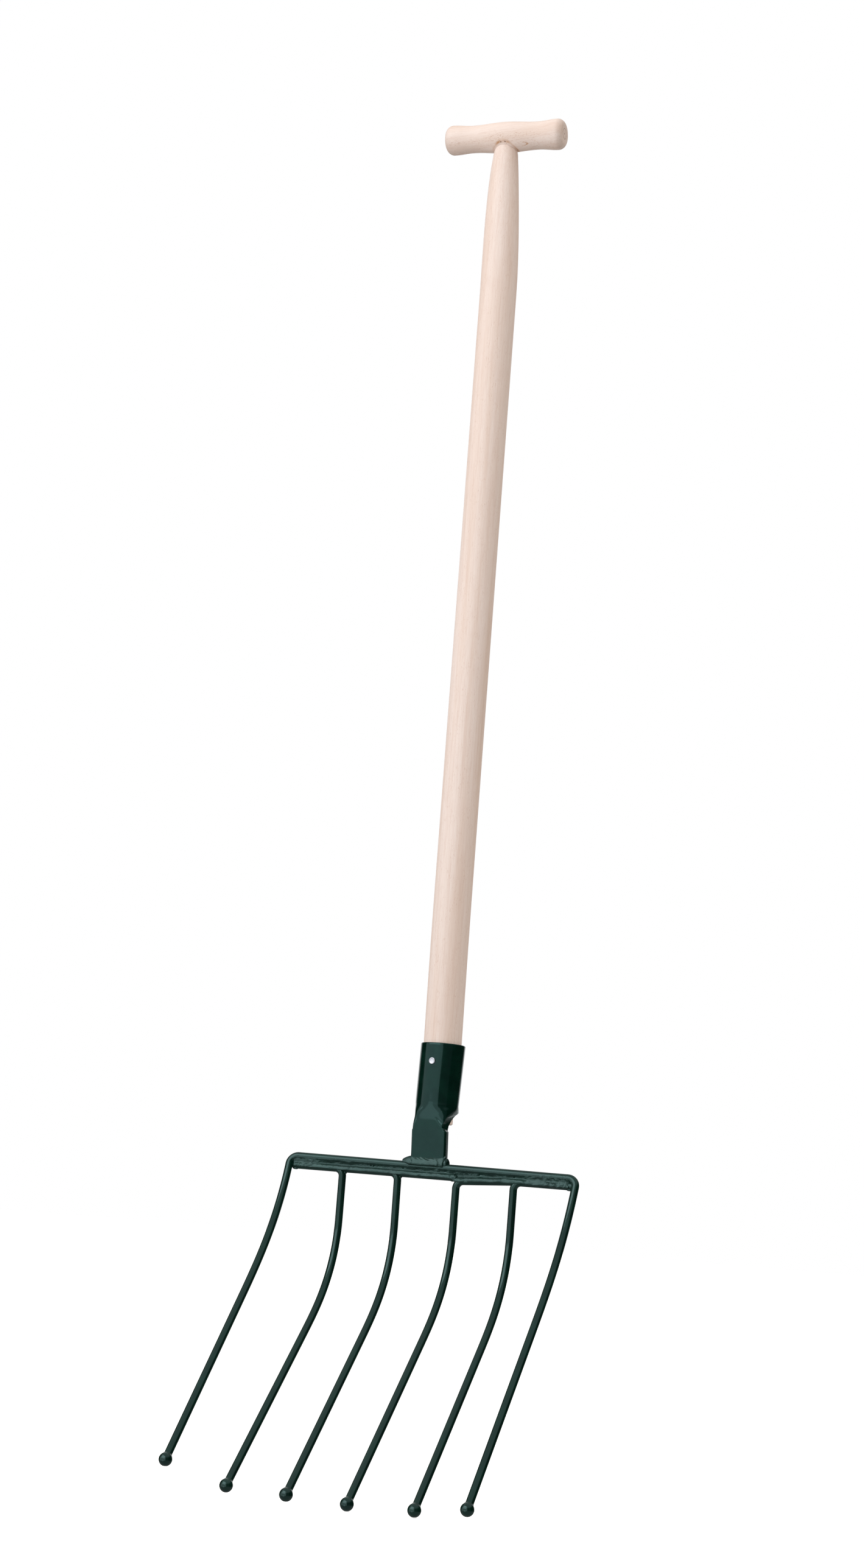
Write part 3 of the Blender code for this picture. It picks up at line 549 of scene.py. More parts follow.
@dataclass
class Grip:
    """Turned T-grip: fuller in the middle and at both ends, with flat end faces marked by the lathe."""

    height: float = 1.0525
    shift: float = -0.0039
    length: float = 0.1258
    middle: float = 0.01574         # radius, as are the next two
    waists: Pair = (0.01385, 0.01410)
    swells: Pair = (0.01514, 0.01564)
    waist_place: float = 0.0350
    disc: float = 0.0112            # radius of the flat end face
    end_rounding: float = 0.0074
    lathe_ring: float = 0.00535
    ring_width: float = 0.00022
    ring_depth: float = 0.00016
    lathe_point: float = 0.0008
    point_depth: float = 0.0007
    end_dark: float = 0.10          # shares of the dark colour on the end face, and of painted shade in its ring and its pit
    ring_dark: float = 0.38
    point_dark: float = 0.75
    marks_depth: float = 0.0012     # how far from the end face they can reach
    upper_flecks: float = 0.12      # share of the flecks on the grip's upper side; fewer there is painted light on the lit top
    glue_place: float = 0.0004      # of the line of glue round the neck, from the shaft's side
    glue_width: float = 0.0009
    glue_grain: float = 0.0040      # length over which it comes and goes
    glue: float = 1.05              # its strength
    hook_place: float = 0.0225      # sideways place of the knot's edge
    hook_angle: float = 53.0        # degrees below the front
    hook_bend: float = 0.060        # mm for each square degree
    hook_width: float = 0.85        # mm
    hook_reach: float = 10.0        # degrees to either side
    sides: int = 144

    def half(self, waist: float, swell: float) -> Array:
        """One half's outline.

        The end face carries a shallow ring and a pit. An arc leads from it to the swell, and cosine curves
        lead on to the waist and to the middle.

        Args:
            waist: Radius at the waist.
            swell: Radius at the end's swell.

        Returns:
            Rows of radius and place, from the end face's centre to the middle.
        """
        end = self.length / 2
        flat = np.array([0.0, 0.5, 1.0, 1.3, 2.2, 3.4, 4.6, 5.1, 5.35, 5.6, 6.1, 7.4, 9.0]) * MM
        pit = self.point_depth * ease(flat, self.lathe_point * 1.5, 0.0)
        ring = self.ring_depth * bell(flat - self.lathe_ring, self.ring_width)
        face = np.stack([flat, end - pit - ring], axis=1)
        start = math.asin((self.disc - swell + self.end_rounding) / self.end_rounding)
        swell_place = end - self.end_rounding * math.cos(start)
        turns = np.linspace(start, math.pi / 2, 22)
        rounding = np.stack([swell + self.end_rounding * (np.sin(turns) - 1.0),
                             swell_place + self.end_rounding * np.cos(turns)], axis=1)
        share = np.linspace(0.0, 1.0, 36)[1:, None]
        eased = (1.0 - np.cos(math.pi * share)) / 2
        first = np.hstack([swell + (waist - swell) * eased,
                           swell_place + (self.waist_place - swell_place) * share])
        second = np.hstack([waist + (self.middle - waist) * eased, self.waist_place * (1.0 - share)])
        return np.vstack([face, rounding, first, second])

    def outline(self) -> Array:
        """The outline from the right end face to the left one."""
        left, right = (self.half(waist, swell) for waist, swell in zip(self.waists, self.swells))
        return np.vstack([right, (left * np.array([1.0, -1.0]))[-2::-1]])

    def radius_at(self, across: Array) -> Array:
        """Radius at a sideways place, measured in the workshop frame."""
        line = self.outline()[10:-10][::-1]
        return np.interp(across - self.shift, line[:, 1], line[:, 0])

    def build(self, bench: Bench, beech: Beech) -> None:
        """Makes the grip and its marks, with painted shade in the lathe's hollows and painted light on its top.

        Args:
            bench: Where the piece goes.
            beech: Its finish.
        """
        rings = revolve(self.outline(), self.sides)[..., [2, 0, 1]]
        rings += np.array([self.shift, 0.0, self.height])
        piece = bench.add("grip_turned", [(rings, True)], beech.material(), Slot.BEECH, ("grip",), 30.0)
        place = points_of(piece, bench.origin)
        # Fewer flecks on the upper side: painted light, which draws the lit top lighter.
        lower = ease(self.height - place[:, 2], -0.006, 0.004)
        set_attribute(piece, "flecks", self.upper_flecks + (1.0 - self.upper_flecks) * lower)
        set_attribute(piece, "stain", self.stains(place))
        set_attribute(piece, "dark", self.dark_grain_and_painted_shade(place))

    def stains(self, place: Array) -> Array:
        """Glue squeezed out round the neck, and the tan hook of a knot's edge to its right.

        The glue's share falls with the distance from the shaft's side. The hook is a parabola on its side.

        Args:
            place: Points in the workshop frame.

        Returns:
            The stain's share at each point.
        """
        beside = np.hypot(place[:, 0] - Shaft.top_bow, place[:, 1]) - Shaft.throat
        uneven = 0.55 + 0.45 * roughness(3, place[:, 0] / self.glue_grain, place[:, 2] / self.glue_grain)
        glue = bell(beside - self.glue_place, self.glue_width) * (place[:, 2] < self.height) * uneven
        around = np.degrees(np.arctan2(-(place[:, 2] - self.height), -place[:, 1])) - self.hook_angle
        bend = (place[:, 0] - self.hook_place) / MM + self.hook_bend * around ** 2
        fade = ease(np.abs(around), self.hook_reach + 2.0, self.hook_reach - 2.0) * (place[:, 1] < 0)
        return np.clip(glue * self.glue + bell(bend, self.hook_width) * fade, 0.0, 0.95)

    def dark_grain_and_painted_shade(self, place: Array) -> Array:
        """Darker end grain, and painted shade in the lathe's ring groove and centre pit.

        Args:
            place: Points in the workshop frame.

        Returns:
            The dark colour's share at each point.
        """
        end = np.abs(place[:, 0] - self.shift) - self.length / 2
        radius = np.hypot(place[:, 1], place[:, 2] - self.height)
        face = self.end_dark * ease(end, -0.0085, -0.0005)
        # Painted shade in the lathe's ring groove and centre pit, on both end faces.
        ring = self.ring_dark * bell(radius - self.lathe_ring, 0.00035)
        pit = self.point_dark * ease(radius, 0.0012, 0.0005)
        return np.clip(face + (ring + pit) * (end > -self.marks_depth), 0.0, 1.0)


@dataclass
class Shaft:
    """Straight turned shaft that draws in to a neck under the grip and a thinner foot in the socket."""

    radius: float = 0.01865
    foot: float = 0.0154
    foot_height: float = 0.0418
    chamfer: float = 0.0012
    shoulder_top: float = 1.0300
    shoulder_length: float = 0.1400
    shoulder_power: float = 0.8
    throat: float = 0.0128
    throat_rounding: float = 20.0
    top_bow: float = -0.00285
    top_bow_start: float = 0.8800
    top_bow_end: float = 1.0250
    foot_bow: float = 0.0009
    foot_bow_start: float = 0.2600
    foot_bow_end: float = 0.0610
    draw: float = 0.0014            # how much the radius has drawn in at the socket's neck
    cut_length: float = 0.0220      # how far below the shoulder's top the rows bend to the grip's saddle
    dome: float = 0.0016            # rise of the top's middle
    crevice: float = 0.5            # share of the dark colour, a painted shadow, in the neck's open side
    saddle_gap: float = 0.00008     # least gap under the grip
    open_gap: float = 0.00045       # added where the joint stands open
    open_side: float = 322.0        # degrees round from the right towards the back
    tenon_height: float = 0.0120    # the top's middle, under the grip's axis
    sides: int = 96

    def middle(self, height: Array) -> Array:
        """Sideways place of the axis, which bows a little at both ends."""
        return (self.top_bow * ease(height, self.top_bow_start, self.top_bow_end)
                + self.foot_bow * ease(height, self.foot_bow_start, self.foot_bow_end))

    def radius_at(self, height: Array) -> Array:
        """Radius at a height.

        The shoulder is a quarter sine from the throat down to the full radius, the throat falls away above it
        by a parabola, and the foot tapers inside the socket.

        Args:
            height: Heights in the workshop frame.

        Returns:
            The radius at each height.
        """
        share = np.clip((self.shoulder_top - height) / self.shoulder_length, 0.0, 1.0)
        rise = np.sin(math.pi / 2 * share ** self.shoulder_power)
        shoulder = self.throat + (self.radius - self.throat) * rise
        fall = self.throat_rounding * np.clip(height - self.shoulder_top, 0.0, None) ** 2
        taper = np.interp(height, [Socket.step, Socket.neck, Socket.rim],
                          [self.foot, self.radius - self.draw, self.radius])
        return np.where(height < Socket.rim, taper, shoulder - fall)

    def saddle(self, turns: Array, grip: Grip) -> Array:
        """Height at which each side of the shaft meets the grip, found by repeated substitution.

        Args:
            turns: Angles round the shaft.
            grip: The grip that it meets.

        Returns:
            The height at each angle, a gap below the grip.
        """
        edge = np.full(len(turns), self.shoulder_top + 0.005)
        for _ in range(6):
            across = self.middle(edge) + self.radius_at(edge) * np.cos(turns)
            side = self.radius_at(edge) * np.sin(turns)
            edge = grip.height - np.sqrt(grip.radius_at(across) ** 2 - side ** 2)
        return edge - self.saddle_gap - self.open_gap * bell(np.degrees(turns) - self.open_side, 30.0)

    def build(self, bench: Bench, beech: Beech, grip: Grip) -> None:
        """Makes the shaft with its top cut to the grip's saddle.

        Args:
            bench: Where the piece goes.
            beech: Its finish.
            grip: The grip that it carries.
        """
        turns = 2 * math.pi * np.arange(self.sides) / self.sides
        low = self.shoulder_top - self.cut_length
        heights = np.concatenate([[self.foot_height + self.chamfer, 0.047, Socket.step],
                                  np.linspace(Socket.neck, Socket.rim, 6), np.linspace(0.13, 0.88, 60),
                                  np.linspace(0.885, low, 28)])
        levels = np.repeat(heights[:, None], self.sides, axis=1)
        top = low + (self.saddle(turns, grip) - low) * np.linspace(0.0, 1.0, 26)[1:, None]
        levels = np.vstack([levels, top])
        radii = self.radius_at(levels)
        rings = np.stack([self.middle(levels) + radii * np.cos(turns), radii * np.sin(turns), levels],
                         axis=-1)
        inward = np.linspace(1.0, 0.0, 8)[1:, None, None]
        centre = np.array([self.middle(self.shoulder_top), 0.0, grip.height - self.tenon_height])
        dome = np.array([0.0, 0.0, self.dome]) * (1.0 - inward ** 2)
        cap = rings[-1] * inward + centre * (1.0 - inward) + dome
        rim = self.foot - self.chamfer
        foot = np.stack([rim * np.cos(turns) + self.foot_bow, rim * np.sin(turns),
                         np.full(self.sides, self.foot_height)], axis=-1)
        base = foot.mean(axis=0) + (foot - foot.mean(axis=0)) * np.array([0.0, 0.5, 1.0])[:, None, None]
        grid = np.concatenate([base, rings, cap])
        piece = bench.add("shaft_turned", [(grid, True)], beech.material(), Slot.BEECH, ("shaft",), 30.0)
        place = points_of(piece, bench.origin)
        set_attribute(piece, "flecks", np.ones(len(place)))
        set_attribute(piece, "stain", np.zeros(len(place)))
        # The dark colour here is a painted shadow line in the neck's crevice.
        set_attribute(piece, "dark", self.dark_grain_and_painted_shade(place, grip))

    def dark_grain_and_painted_shade(self, place: Array, grip: Grip) -> Array:
        """A shadow line in the neck's crevice, on its open side."""
        level = grip.height - place[:, 2]
        return self.crevice * ease(level, 0.0118, 0.0108) * (place[:, 0] > 0.004)


@dataclass
class Brads:
    """Two thin pins through the grip into the tenon, with their heads punched flush."""

    radius: float = 0.0005
    spacing: float = 0.0044
    shift: float = -0.0027
    drop: float = 0.0094
    length: float = 0.0200
    proud: float = 0.00012          # height of a head's dome over the wood

    def build(self, bench: Bench, grip: Grip, steel: PinSteel) -> None:
        """Makes both pins with low domes.

        Args:
            bench: Where the pieces go.
            grip: The grip that they stand in.
            steel: Their finish.
        """
        material = steel.material()
        depth = math.sqrt(grip.middle ** 2 - self.drop ** 2)
        turns = np.linspace(0.0, math.pi / 2, 6)
        dome = np.stack([self.radius * np.sin(turns), self.proud * 1.6 * np.cos(turns)], axis=1)
        shank = np.array([[self.radius, -self.length + self.radius * 2], [0.0, -self.length]])
        for name, side in (("grip_brad_left", Side.LEFT), ("grip_brad_right", Side.RIGHT)):
            place = (self.shift + side.value / 2 * self.spacing, -depth - self.proud * 0.6,
                     grip.height - self.drop)
            rings = turned_to(revolve(np.vstack([dome, shank]), 24), Vector((0.0, -1.0, 0.0)), place)
            bench.add(name + "_pin", [(rings, True)], material, Slot.PIN, (name,))


# Socket


@dataclass
class Socket:
    """One pressed plate: a tube with an open seam behind, and a channel-shaped tongue below it."""

    plate: float = 0.0020
    rim: float = 0.1200
    rim_radius: float = 0.0219
    rim_tilt: Pair = (-0.0003, 0.0009)      # lift of the whole rim, and of its front over its middle
    neck: float = 0.0610
    neck_radius: float = 0.0212
    step: float = 0.0490
    cut: float = 0.0565
    wing: float = 0.0445
    fall: Pair = (0.0630, 0.0450)           # heights between which the front comes to the tongue's face
    narrow_starts: Pair = (0.0625, 0.0595)  # heights at which the left and right sides begin to draw in
    narrow_ends: Pair = (0.0470, 0.0427)
    pinch: float = 0.0365
    pinch_depth: float = 0.0018
    pinch_left: float = 0.65                # the left side's share of it
    seam: float = 0.0030
    tongue_width: float = 0.0358
    tongue_trim: float = 0.0005             # by which the bent sides stay inside that width
    tongue_forward: float = 0.0185
    tongue_depth: float = 0.0100
    squareness: float = 18.0
    tongue_shift: float = -0.0010
    foot_shift: float = 0.0011
    lean: float = 0.0325
    bend: float = 0.0400
    foot: float = 0.0047
    cut_heights: tuple[float, ...] = (0.0355, 0.0380, 0.0410, 0.0441, 0.0484, 0.0515, 0.0540, 0.0555)
    cut_angles: tuple[float, ...] = (66.0, 69.5, 81.5, 92.0, 102.0, 118.0, 140.0)
    fold_heights: tuple[float, ...] = (0.0360, 0.0372, 0.0385, 0.0400, 0.0422, 0.0447, 0.0469, 0.0487,
                                       0.0500, 0.0506, 0.0515)
    fold_angles: tuple[float, ...] = (47.0, 40.0, 37.2, 37.0, 38.2, 41.0, 44.0, 48.0, 57.0, 70.0, 104.0)
    fold_range: Pair = (0.0362, 0.0513)
    fold_rounding: float = 0.00022
    # Press marks: how far each stands proud, its place across their line and its width.
    neck_marks: tuple[Triple, ...] = ((0.00007, 0.0, 0.0016), (-0.00005, -0.0030, 0.0024))
    wing_marks: tuple[Triple, ...] = ((0.00013, 0.0, 0.0011), (-0.00010, 0.0021, 0.0010),
                                      (0.00010, 0.0042, 0.0011))
    bowl: float = 0.00022                   # depth of the shallow bowl over the neck
    unevenness: float = 0.00006

    def middle(self, height: Array) -> Array:
        """Sideways place of the plate's middle: straight up the tongue, then leaning up the tube."""
        return self.tongue_shift + self.lean * np.clip(height - self.bend, 0.0, None)

    def radius_at(self, height: Array) -> Array:
        """The tube's outer radius, which grows a little from neck to rim."""
        share = np.clip((height - self.neck) / (self.rim - self.neck), 0.0, 1.0)
        return self.neck_radius + (self.rim_radius - self.neck_radius) * share

    def reach(self, height: Array, side: Side) -> Array:
        """Angle at which the plate ends on one side, from the seam behind the tube to the tongue's flange.

        On the left it falls as a smoothstep. On the right the cut runs lower, along named places.

        Args:
            height: Heights in the workshop frame.
            side: The side of the plate.

        Returns:
            The angle from the front at each height, in radians.
        """
        open_end = math.pi - self.seam / (2 * self.neck_radius)
        flange_end = math.atan2(self.tongue_width / 2, self.tongue_forward - self.tongue_depth)
        if side is Side.LEFT:
            cut = np.clip((self.cut - height) / (self.cut - self.wing), 0.0, 1.0) ** 0.6
            return open_end + (flange_end - open_end) * ease(cut, 0.0, 1.0)
        return np.interp(height, (*self.cut_heights, self.cut),
                         (flange_end, *np.radians(self.cut_angles), open_end))

    def fold_angle(self, height: Array) -> Array:
        """Angle of the fold on the right where the front turns into the wing's flank.

        It begins a little above the tongue's own corner, well inside it, and climbs outwards until it meets
        the tube's side.

        Args:
            height: Heights in the workshop frame.

        Returns:
            The angle from the front at each height, in radians.
        """
        return np.interp(height, self.fold_heights, np.radians(self.fold_angles))

    def section(self, height: Array, share: Array) -> Array:
        """Outer side of the plate.

        The outline is a superellipse whose power grows from a circle's 2 to the tongue's squareness. Its
        front comes forward by a quarter of a parabola and three quarters of a smoothstep. Right of the fold
        it is cut off by a straight flank, and a soft minimum of the two distances rounds the fold.

        Args:
            height: A column of heights.
            share: A row of places round the front, from -1 at the plate's left end to 1 at its right one.

        Returns:
            The grid of points.
        """
        radius = self.radius_at(height)
        slope = np.clip((self.fall[0] - height) / (self.fall[0] - self.fall[1]), 0.0, 1.0)
        drop = 0.25 * (1.0 - (1.0 - slope) ** 2) + 0.75 * slope * slope * (3.0 - 2.0 * slope)
        front = radius + (self.tongue_forward - radius) * drop
        left, right = self.reach(height, Side.LEFT), self.reach(height, Side.RIGHT)
        angle = np.where(share < 0, left * share, right * share)
        pinch = self.pinch_depth * ease(height, self.pinch - self.pinch_depth, self.pinch)
        pinch = pinch * np.where(share < 0, self.pinch_left, 1.0)
        narrow = (self.tongue_width - self.tongue_trim - pinch) / 2
        top, low = np.where(share < 0, *self.narrow_starts), np.where(share < 0, *self.narrow_ends)
        half = radius + (narrow - radius) * ease((top - height) / (top - low), 0.0, 1.0)
        squared = np.clip((self.neck - height) / (self.neck - self.pinch), 0.0, 1.0) ** 1.9
        power = 2.0 + (self.squareness - 2.0) * squared

        def polar(turn: Array) -> Array:
            """Distance of the superellipse from the middle."""
            return ((np.abs(np.sin(turn)) / half) ** power
                    + (np.abs(np.cos(turn)) / front) ** power) ** (-1.0 / power)

        out = polar(angle)
        fold = np.minimum(self.fold_angle(height), right * 0.998)
        first, last = (polar(turn) * np.array([np.sin(turn), np.cos(turn)]) for turn in (fold, right))
        run = last - first
        beyond = np.maximum(angle, fold - 0.25)
        flank = ((first[0] * run[1] - first[1] * run[0])
                 / (np.sin(beyond) * run[1] - np.cos(beyond) * run[0] - 1e-9))
        near = (height > self.fold_range[0]) & (height < self.fold_range[1]) & (angle > fold - 0.12)
        soft = self.fold_rounding
        closer = np.minimum(out, flank) - soft * np.log1p(np.exp(-np.abs(out - flank) / soft))
        out = np.where(near & (flank > 0.0), closer + soft * math.log(2.0) * (angle > fold + 0.5), out)
        tilt = (self.rim_tilt[0] + self.rim_tilt[1] * np.cos(angle)) * ease(height, 0.095, self.rim)
        aside = self.middle(height) + self.foot_shift * ease(height, self.wing, self.foot)
        return np.stack([aside + out * np.sin(angle), -out * np.cos(angle), height + tilt + 0 * angle],
                        axis=-1)

    def creases(self, place: Array) -> Array:
        """How far the press marks stand proud of the plate.

        Marks with a bell-shaped cross-section lie beside two lines on the front: across the neck, and from
        under the neck to the fold of the right wing. A shallow bowl lies over the neck. A wide, low noise
        stands for the plate's uneven rolling.

        Args:
            place: The grid of points.

        Returns:
            The height at each point.
        """
        across, height = place[..., 0], place[..., 2]
        front = ease(place[..., 1], -0.007, -0.013)
        wander = 0.0004 * roughness(9, across / 0.006, height / 0.02)
        neck = height - 0.0606 + 0.09 * (across + 0.010) + wander
        along = (across - 0.0045) * 0.68 - (height - 0.0486) * 0.73
        wing = (across - 0.0045) * 0.73 + (height - 0.0486) * 0.68
        there = ease(across, -0.0175, -0.0120) * ease(across, 0.0060, 0.0015)
        proud = sum(rise * bell(neck - middle, width) * there for rise, middle, width in self.neck_marks)
        there = ease(along, -0.001, 0.002) * ease(along, 0.0120, 0.0095)
        proud += sum(rise * bell(wing - middle, width) * there for rise, middle, width in self.wing_marks)
        proud -= self.bowl * bell(np.hypot((across + 0.0020) / 0.0080, (height - 0.0635) / 0.0060), 1.0)
        return proud * front + self.unevenness * roughness(11, across / 0.011, height / 0.024)

    def build(self, bench: Bench, enamel: Enamel) -> None:
        """Makes the plate: its outer and inner sides meet in round edges.

        Args:
            bench: Where the piece goes.
            enamel: Its finish.
        """
        edge = np.array([0.0, 0.05, 0.18, 0.38, 0.65, 0.95]) * MM
        share = np.concatenate([-1.0 + edge / 0.045, np.linspace(-0.965, 0.965, 221),
                                1.0 - edge[::-1] / 0.045])
        heights = np.concatenate([self.foot + edge, np.linspace(0.0072, 0.034, 28),
                                  np.linspace(0.0345, 0.0630, 122), np.linspace(0.0645, 0.1175, 44),
                                  self.rim - edge[::-1]])[:, None]
        outer = self.section(heights, share[None, :])
        outer = outer + self.normals(outer) * self.creases(outer)[..., None]
        normal = self.normals(outer)
        steps = np.linalg.norm(np.diff(outer, axis=1), axis=-1)
        from_left = np.hstack([np.zeros((len(heights), 1)), np.cumsum(steps, axis=1)])
        climbs = np.linalg.norm(np.diff(outer, axis=0), axis=-1)
        from_foot = np.vstack([np.zeros((1, len(share))), np.cumsum(climbs, axis=0)])
        inward = np.minimum(np.minimum(from_left, from_left[:, -1:] - from_left),
                            np.minimum(from_foot, from_foot[-1:] - from_foot))
        half = self.plate / 2
        thick = np.sqrt(np.clip(half ** 2 - np.clip(half - inward, 0.0, half) ** 2, 0.0, None))[..., None]
        sheet = outer - normal * half
        bench.add("socket_plate", [(sheet + normal * thick, False), (sheet - normal * thick, False)],
                  enamel.material(), Slot.ENAMEL, ("socket",), 60.0)

    @staticmethod
    def normals(grid: Array) -> Array:
        """Outward normals of a grid, from the cross product of its two directions."""
        return unit(np.cross(np.gradient(grid, axis=1), np.gradient(grid, axis=0)))


@dataclass
class SocketNail:
    """Nail through the socket's front: a stamped head with a raised brim."""

    height: float = 0.1026
    turn: float = -5.6              # degrees round from the front to the right
    head: float = 0.0034
    brim: float = 0.0026
    rise: float = 0.0014
    shank: float = 0.0017
    point: float = 0.0050           # length of the taper at the end
    length: float = 0.0260
    seating: float = 0.0001         # how far the head is sunk into the coat

    def build(self, bench: Bench, socket: Socket, zinc: Zinc) -> None:
        """Makes the nail square to the tube.

        Args:
            bench: Where the piece goes.
            socket: The tube that it stands in.
            zinc: Its finish.
        """
        turn = math.radians(self.turn)
        outward = Vector((math.sin(turn), -math.cos(turn), 0.0))
        place = np.array([float(socket.middle(self.height)), 0.0, self.height])
        place += np.array(outward) * (float(socket.radius_at(self.height)) - self.seating)
        turns = np.linspace(0.0, math.pi / 2, 9)[1:]
        face = np.array([[0.0, 0.74], [0.9, 0.75], [1.6, 0.77], [2.05, 0.80], [2.35, 0.92], [2.6, 1.0]])
        face *= np.array([MM, self.rise])
        brim = np.stack([self.brim + 0.0007 * np.sin(turns), self.rise * (0.5 + 0.5 * np.cos(turns))], axis=1)
        foot = np.array([[self.head, 0.0], [self.shank, 0.0], [self.shank, self.point - self.length],
                         [0.0, -self.length]])
        rings = turned_to(revolve(np.vstack([face, brim, foot]), 48), outward, place)
        bench.add("socket_nail_head", [(rings, True)], zinc.material(), Slot.ZINC, ("socket_nail",), 50.0)


# Head


@dataclass
class Head:
    """Frame rod, four inner tines, filler rod and ball tips."""

    radius: float = 0.00375
    trim: float = 0.00001           # taken off the radius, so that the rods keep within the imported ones
    forward: float = 0.0160
    rise: float = 0.0012
    pitch: float = 0.0588
    shift: float = 0.0039
    drifts: tuple[float, ...] = (-0.0001, -0.0030, -0.0041, -0.0025, -0.0032, 0.0002)
    corner: float = 0.0085
    elbow: float = 0.0075
    leg_height: float = -0.0078
    leg_drop: float = 0.0030
    dropped: int = 4
    outer_lengths: Pair = (0.3632, 0.3623)
    outer_first_turn: float = 21.7
    outer_full_turns: Pair = (46.9, 43.5)
    outer_turn_end: float = 0.168
    outer_leans: Pair = (1.05, 1.31)
    inner_lengths: tuple[float, ...] = (0.3713, 0.3771, 0.3780, 0.3684)
    inner_full_turns: tuple[float, ...] = (50.2, 51.1, 50.8, 49.1)
    inner_turn_start: float = 0.041
    inner_turn_end: float = 0.175
    inner_leans: tuple[float, ...] = (-0.17, 0.32, -0.12, -0.16)
    ball: float = 0.00623
    ball_flat: float = 0.0015
    collar: float = 0.0047
    collar_height: float = 0.0055
    seat: float = 0.0030            # height of the hidden face in the collar
    worn: tuple[float, ...] = (0.00045, 0.00015, 0.00040, 0.00035, 0.00040, 0.00015)
    sides: int = 32

    def place(self, index: int) -> float:
        """Sideways place of a tine at the cross bar, counted from 1 on the left."""
        return self.shift + (index - 3.5) * self.pitch + self.drifts[index - 1]

    def bar_height(self, across: Array) -> Array:
        """Height of the frame rod's axis along the cross bar."""
        return self.rise * (self.place(6) - across) / (self.place(6) - self.place(1))

    def drop(self, index: int) -> float:
        """How much lower a tine's elbow lies than the others."""
        return self.leg_drop if index == self.dropped else 0.0

    def leg_at(self, across: Array) -> Array:
        """Height of the lower row's axis: it drops at the fourth tine and climbs back along that tine's leg.

        Args:
            across: Sideways places.

        Returns:
            The height at each place.
        """
        start, end = self.place(self.dropped), self.place(self.dropped + 1) - self.elbow
        share = np.clip((end - across) / (end - start), 0.0, 1.0) * ease(across, start - 0.005, start + 0.001)
        return self.leg_height - self.leg_drop * share

    def side(self, index: int) -> Side:
        """The side towards which a tine's leg or corner lies."""
        return Side.LEFT if index <= 3 else Side.RIGHT

    def sweep(self, start: Array, length: float, turns: Pair, stretch: Pair,
              lean: float) -> tuple[Array, Array]:
        """A tine's axis below start, whose forward turn grows along it as a quarter sine and then stays.

        Args:
            start: First point.
            length: Length to the ball's centre.
            turns: Forward turn in degrees at the start and when complete.
            stretch: Where along the tine the turn begins and is complete.
            lean: Sideways lean in degrees.

        Returns:
            The points and the heading at the tip.
        """
        along = np.linspace(0.0, length, 801)
        share = np.clip((along - stretch[0]) / (stretch[1] - stretch[0]), 0.0, 1.0)
        turn = np.radians(turns[0] + (turns[1] - turns[0]) * np.sin(share * math.pi / 2))
        aside = np.full_like(along, math.tan(math.radians(lean)))
        heading = np.stack([aside, -np.sin(turn), -np.cos(turn)], axis=1)
        strides = (heading[1:] + heading[:-1]) / 2 * (along[1] - along[0])
        path = start + np.vstack([np.zeros(3), np.cumsum(strides, axis=0)])
        return path[8::8], heading[-1] / np.linalg.norm(heading[-1])

    def outer(self, index: int) -> tuple[Array, Array]:
        """Corner and sweep of tine 1 or 6.

        Args:
            index: The tine's number.

        Returns:
            The points from the bar to the ball's centre, and the heading there.
        """
        side, slot = (-1.0, 0) if index == 1 else (1.0, 1)
        lean = math.radians(self.outer_first_turn)
        down = np.array([0.0, -math.sin(lean), -math.cos(lean)])
        place = self.place(index)
        top = np.array([place - side * self.corner, -self.forward, self.bar_height(place)])
        corner = arc(top + down * self.corner, -down, np.array([side, 0.0, 0.0]), self.corner, 16)
        points, heading = self.sweep(corner[-1], self.outer_lengths[slot],
                                     (self.outer_first_turn, self.outer_full_turns[slot]),
                                     (0.0, self.outer_turn_end), -side * self.outer_leans[slot])
        return np.vstack([corner, points]), heading

    def beside(self, index: int) -> float:
        """How far past an elbow's tine axis the next rod of the lower row stops."""
        height = self.elbow - self.radius + self.drop(index)
        return math.sqrt((self.elbow + self.radius) ** 2 - height ** 2) - self.elbow

    def inner(self, index: int) -> tuple[Array, Array]:
        """Leg, elbow and sweep of tines 2 to 5.

        Args:
            index: The tine's number.

        Returns:
            The points from the leg's end to the ball's centre, and the heading there.
        """
        side, drop = self.side(index).value, self.drop(index)
        neighbour = index + int(side)
        end = self.place(neighbour) - side * (self.corner if neighbour in (1, 6) else self.beside(neighbour))
        centre = np.array([self.place(index) + side * self.elbow, -self.forward,
                           self.leg_height - drop - self.elbow])
        elbow = arc(centre, np.array([0.0, 0.0, 1.0]), np.array([-side, 0.0, 0.0]), self.elbow, 16)
        far = np.array([end, -self.forward, self.leg_height])
        leg = far + (elbow[0] - far) * np.linspace(0.0, 1.0, 14)[:-1, None]
        points, heading = self.sweep(elbow[-1], self.inner_lengths[index - 2] - drop,
                                     (0.0, self.inner_full_turns[index - 2]),
                                     (self.inner_turn_start - drop, self.inner_turn_end - drop),
                                     self.inner_leans[index - 2])
        return np.vstack([leg, elbow, points]), heading

    def capped(self, path: Array, reference: Triple) -> list[tuple[Array, bool]]:
        """A rod's rings along a path, closed to a point at both ends.

        Args:
            path: Points of its axis.
            reference: Direction that no part of the path is parallel to.

        Returns:
            The one grid of the rod.
        """
        rings = tube(path, np.full(len(path), self.radius - self.trim), self.sides, np.array(reference))
        ends = [path[None, place, None].repeat(self.sides, axis=1) for place in (0, -1)]
        return [(np.concatenate([ends[0], rings, ends[1]]), True)]

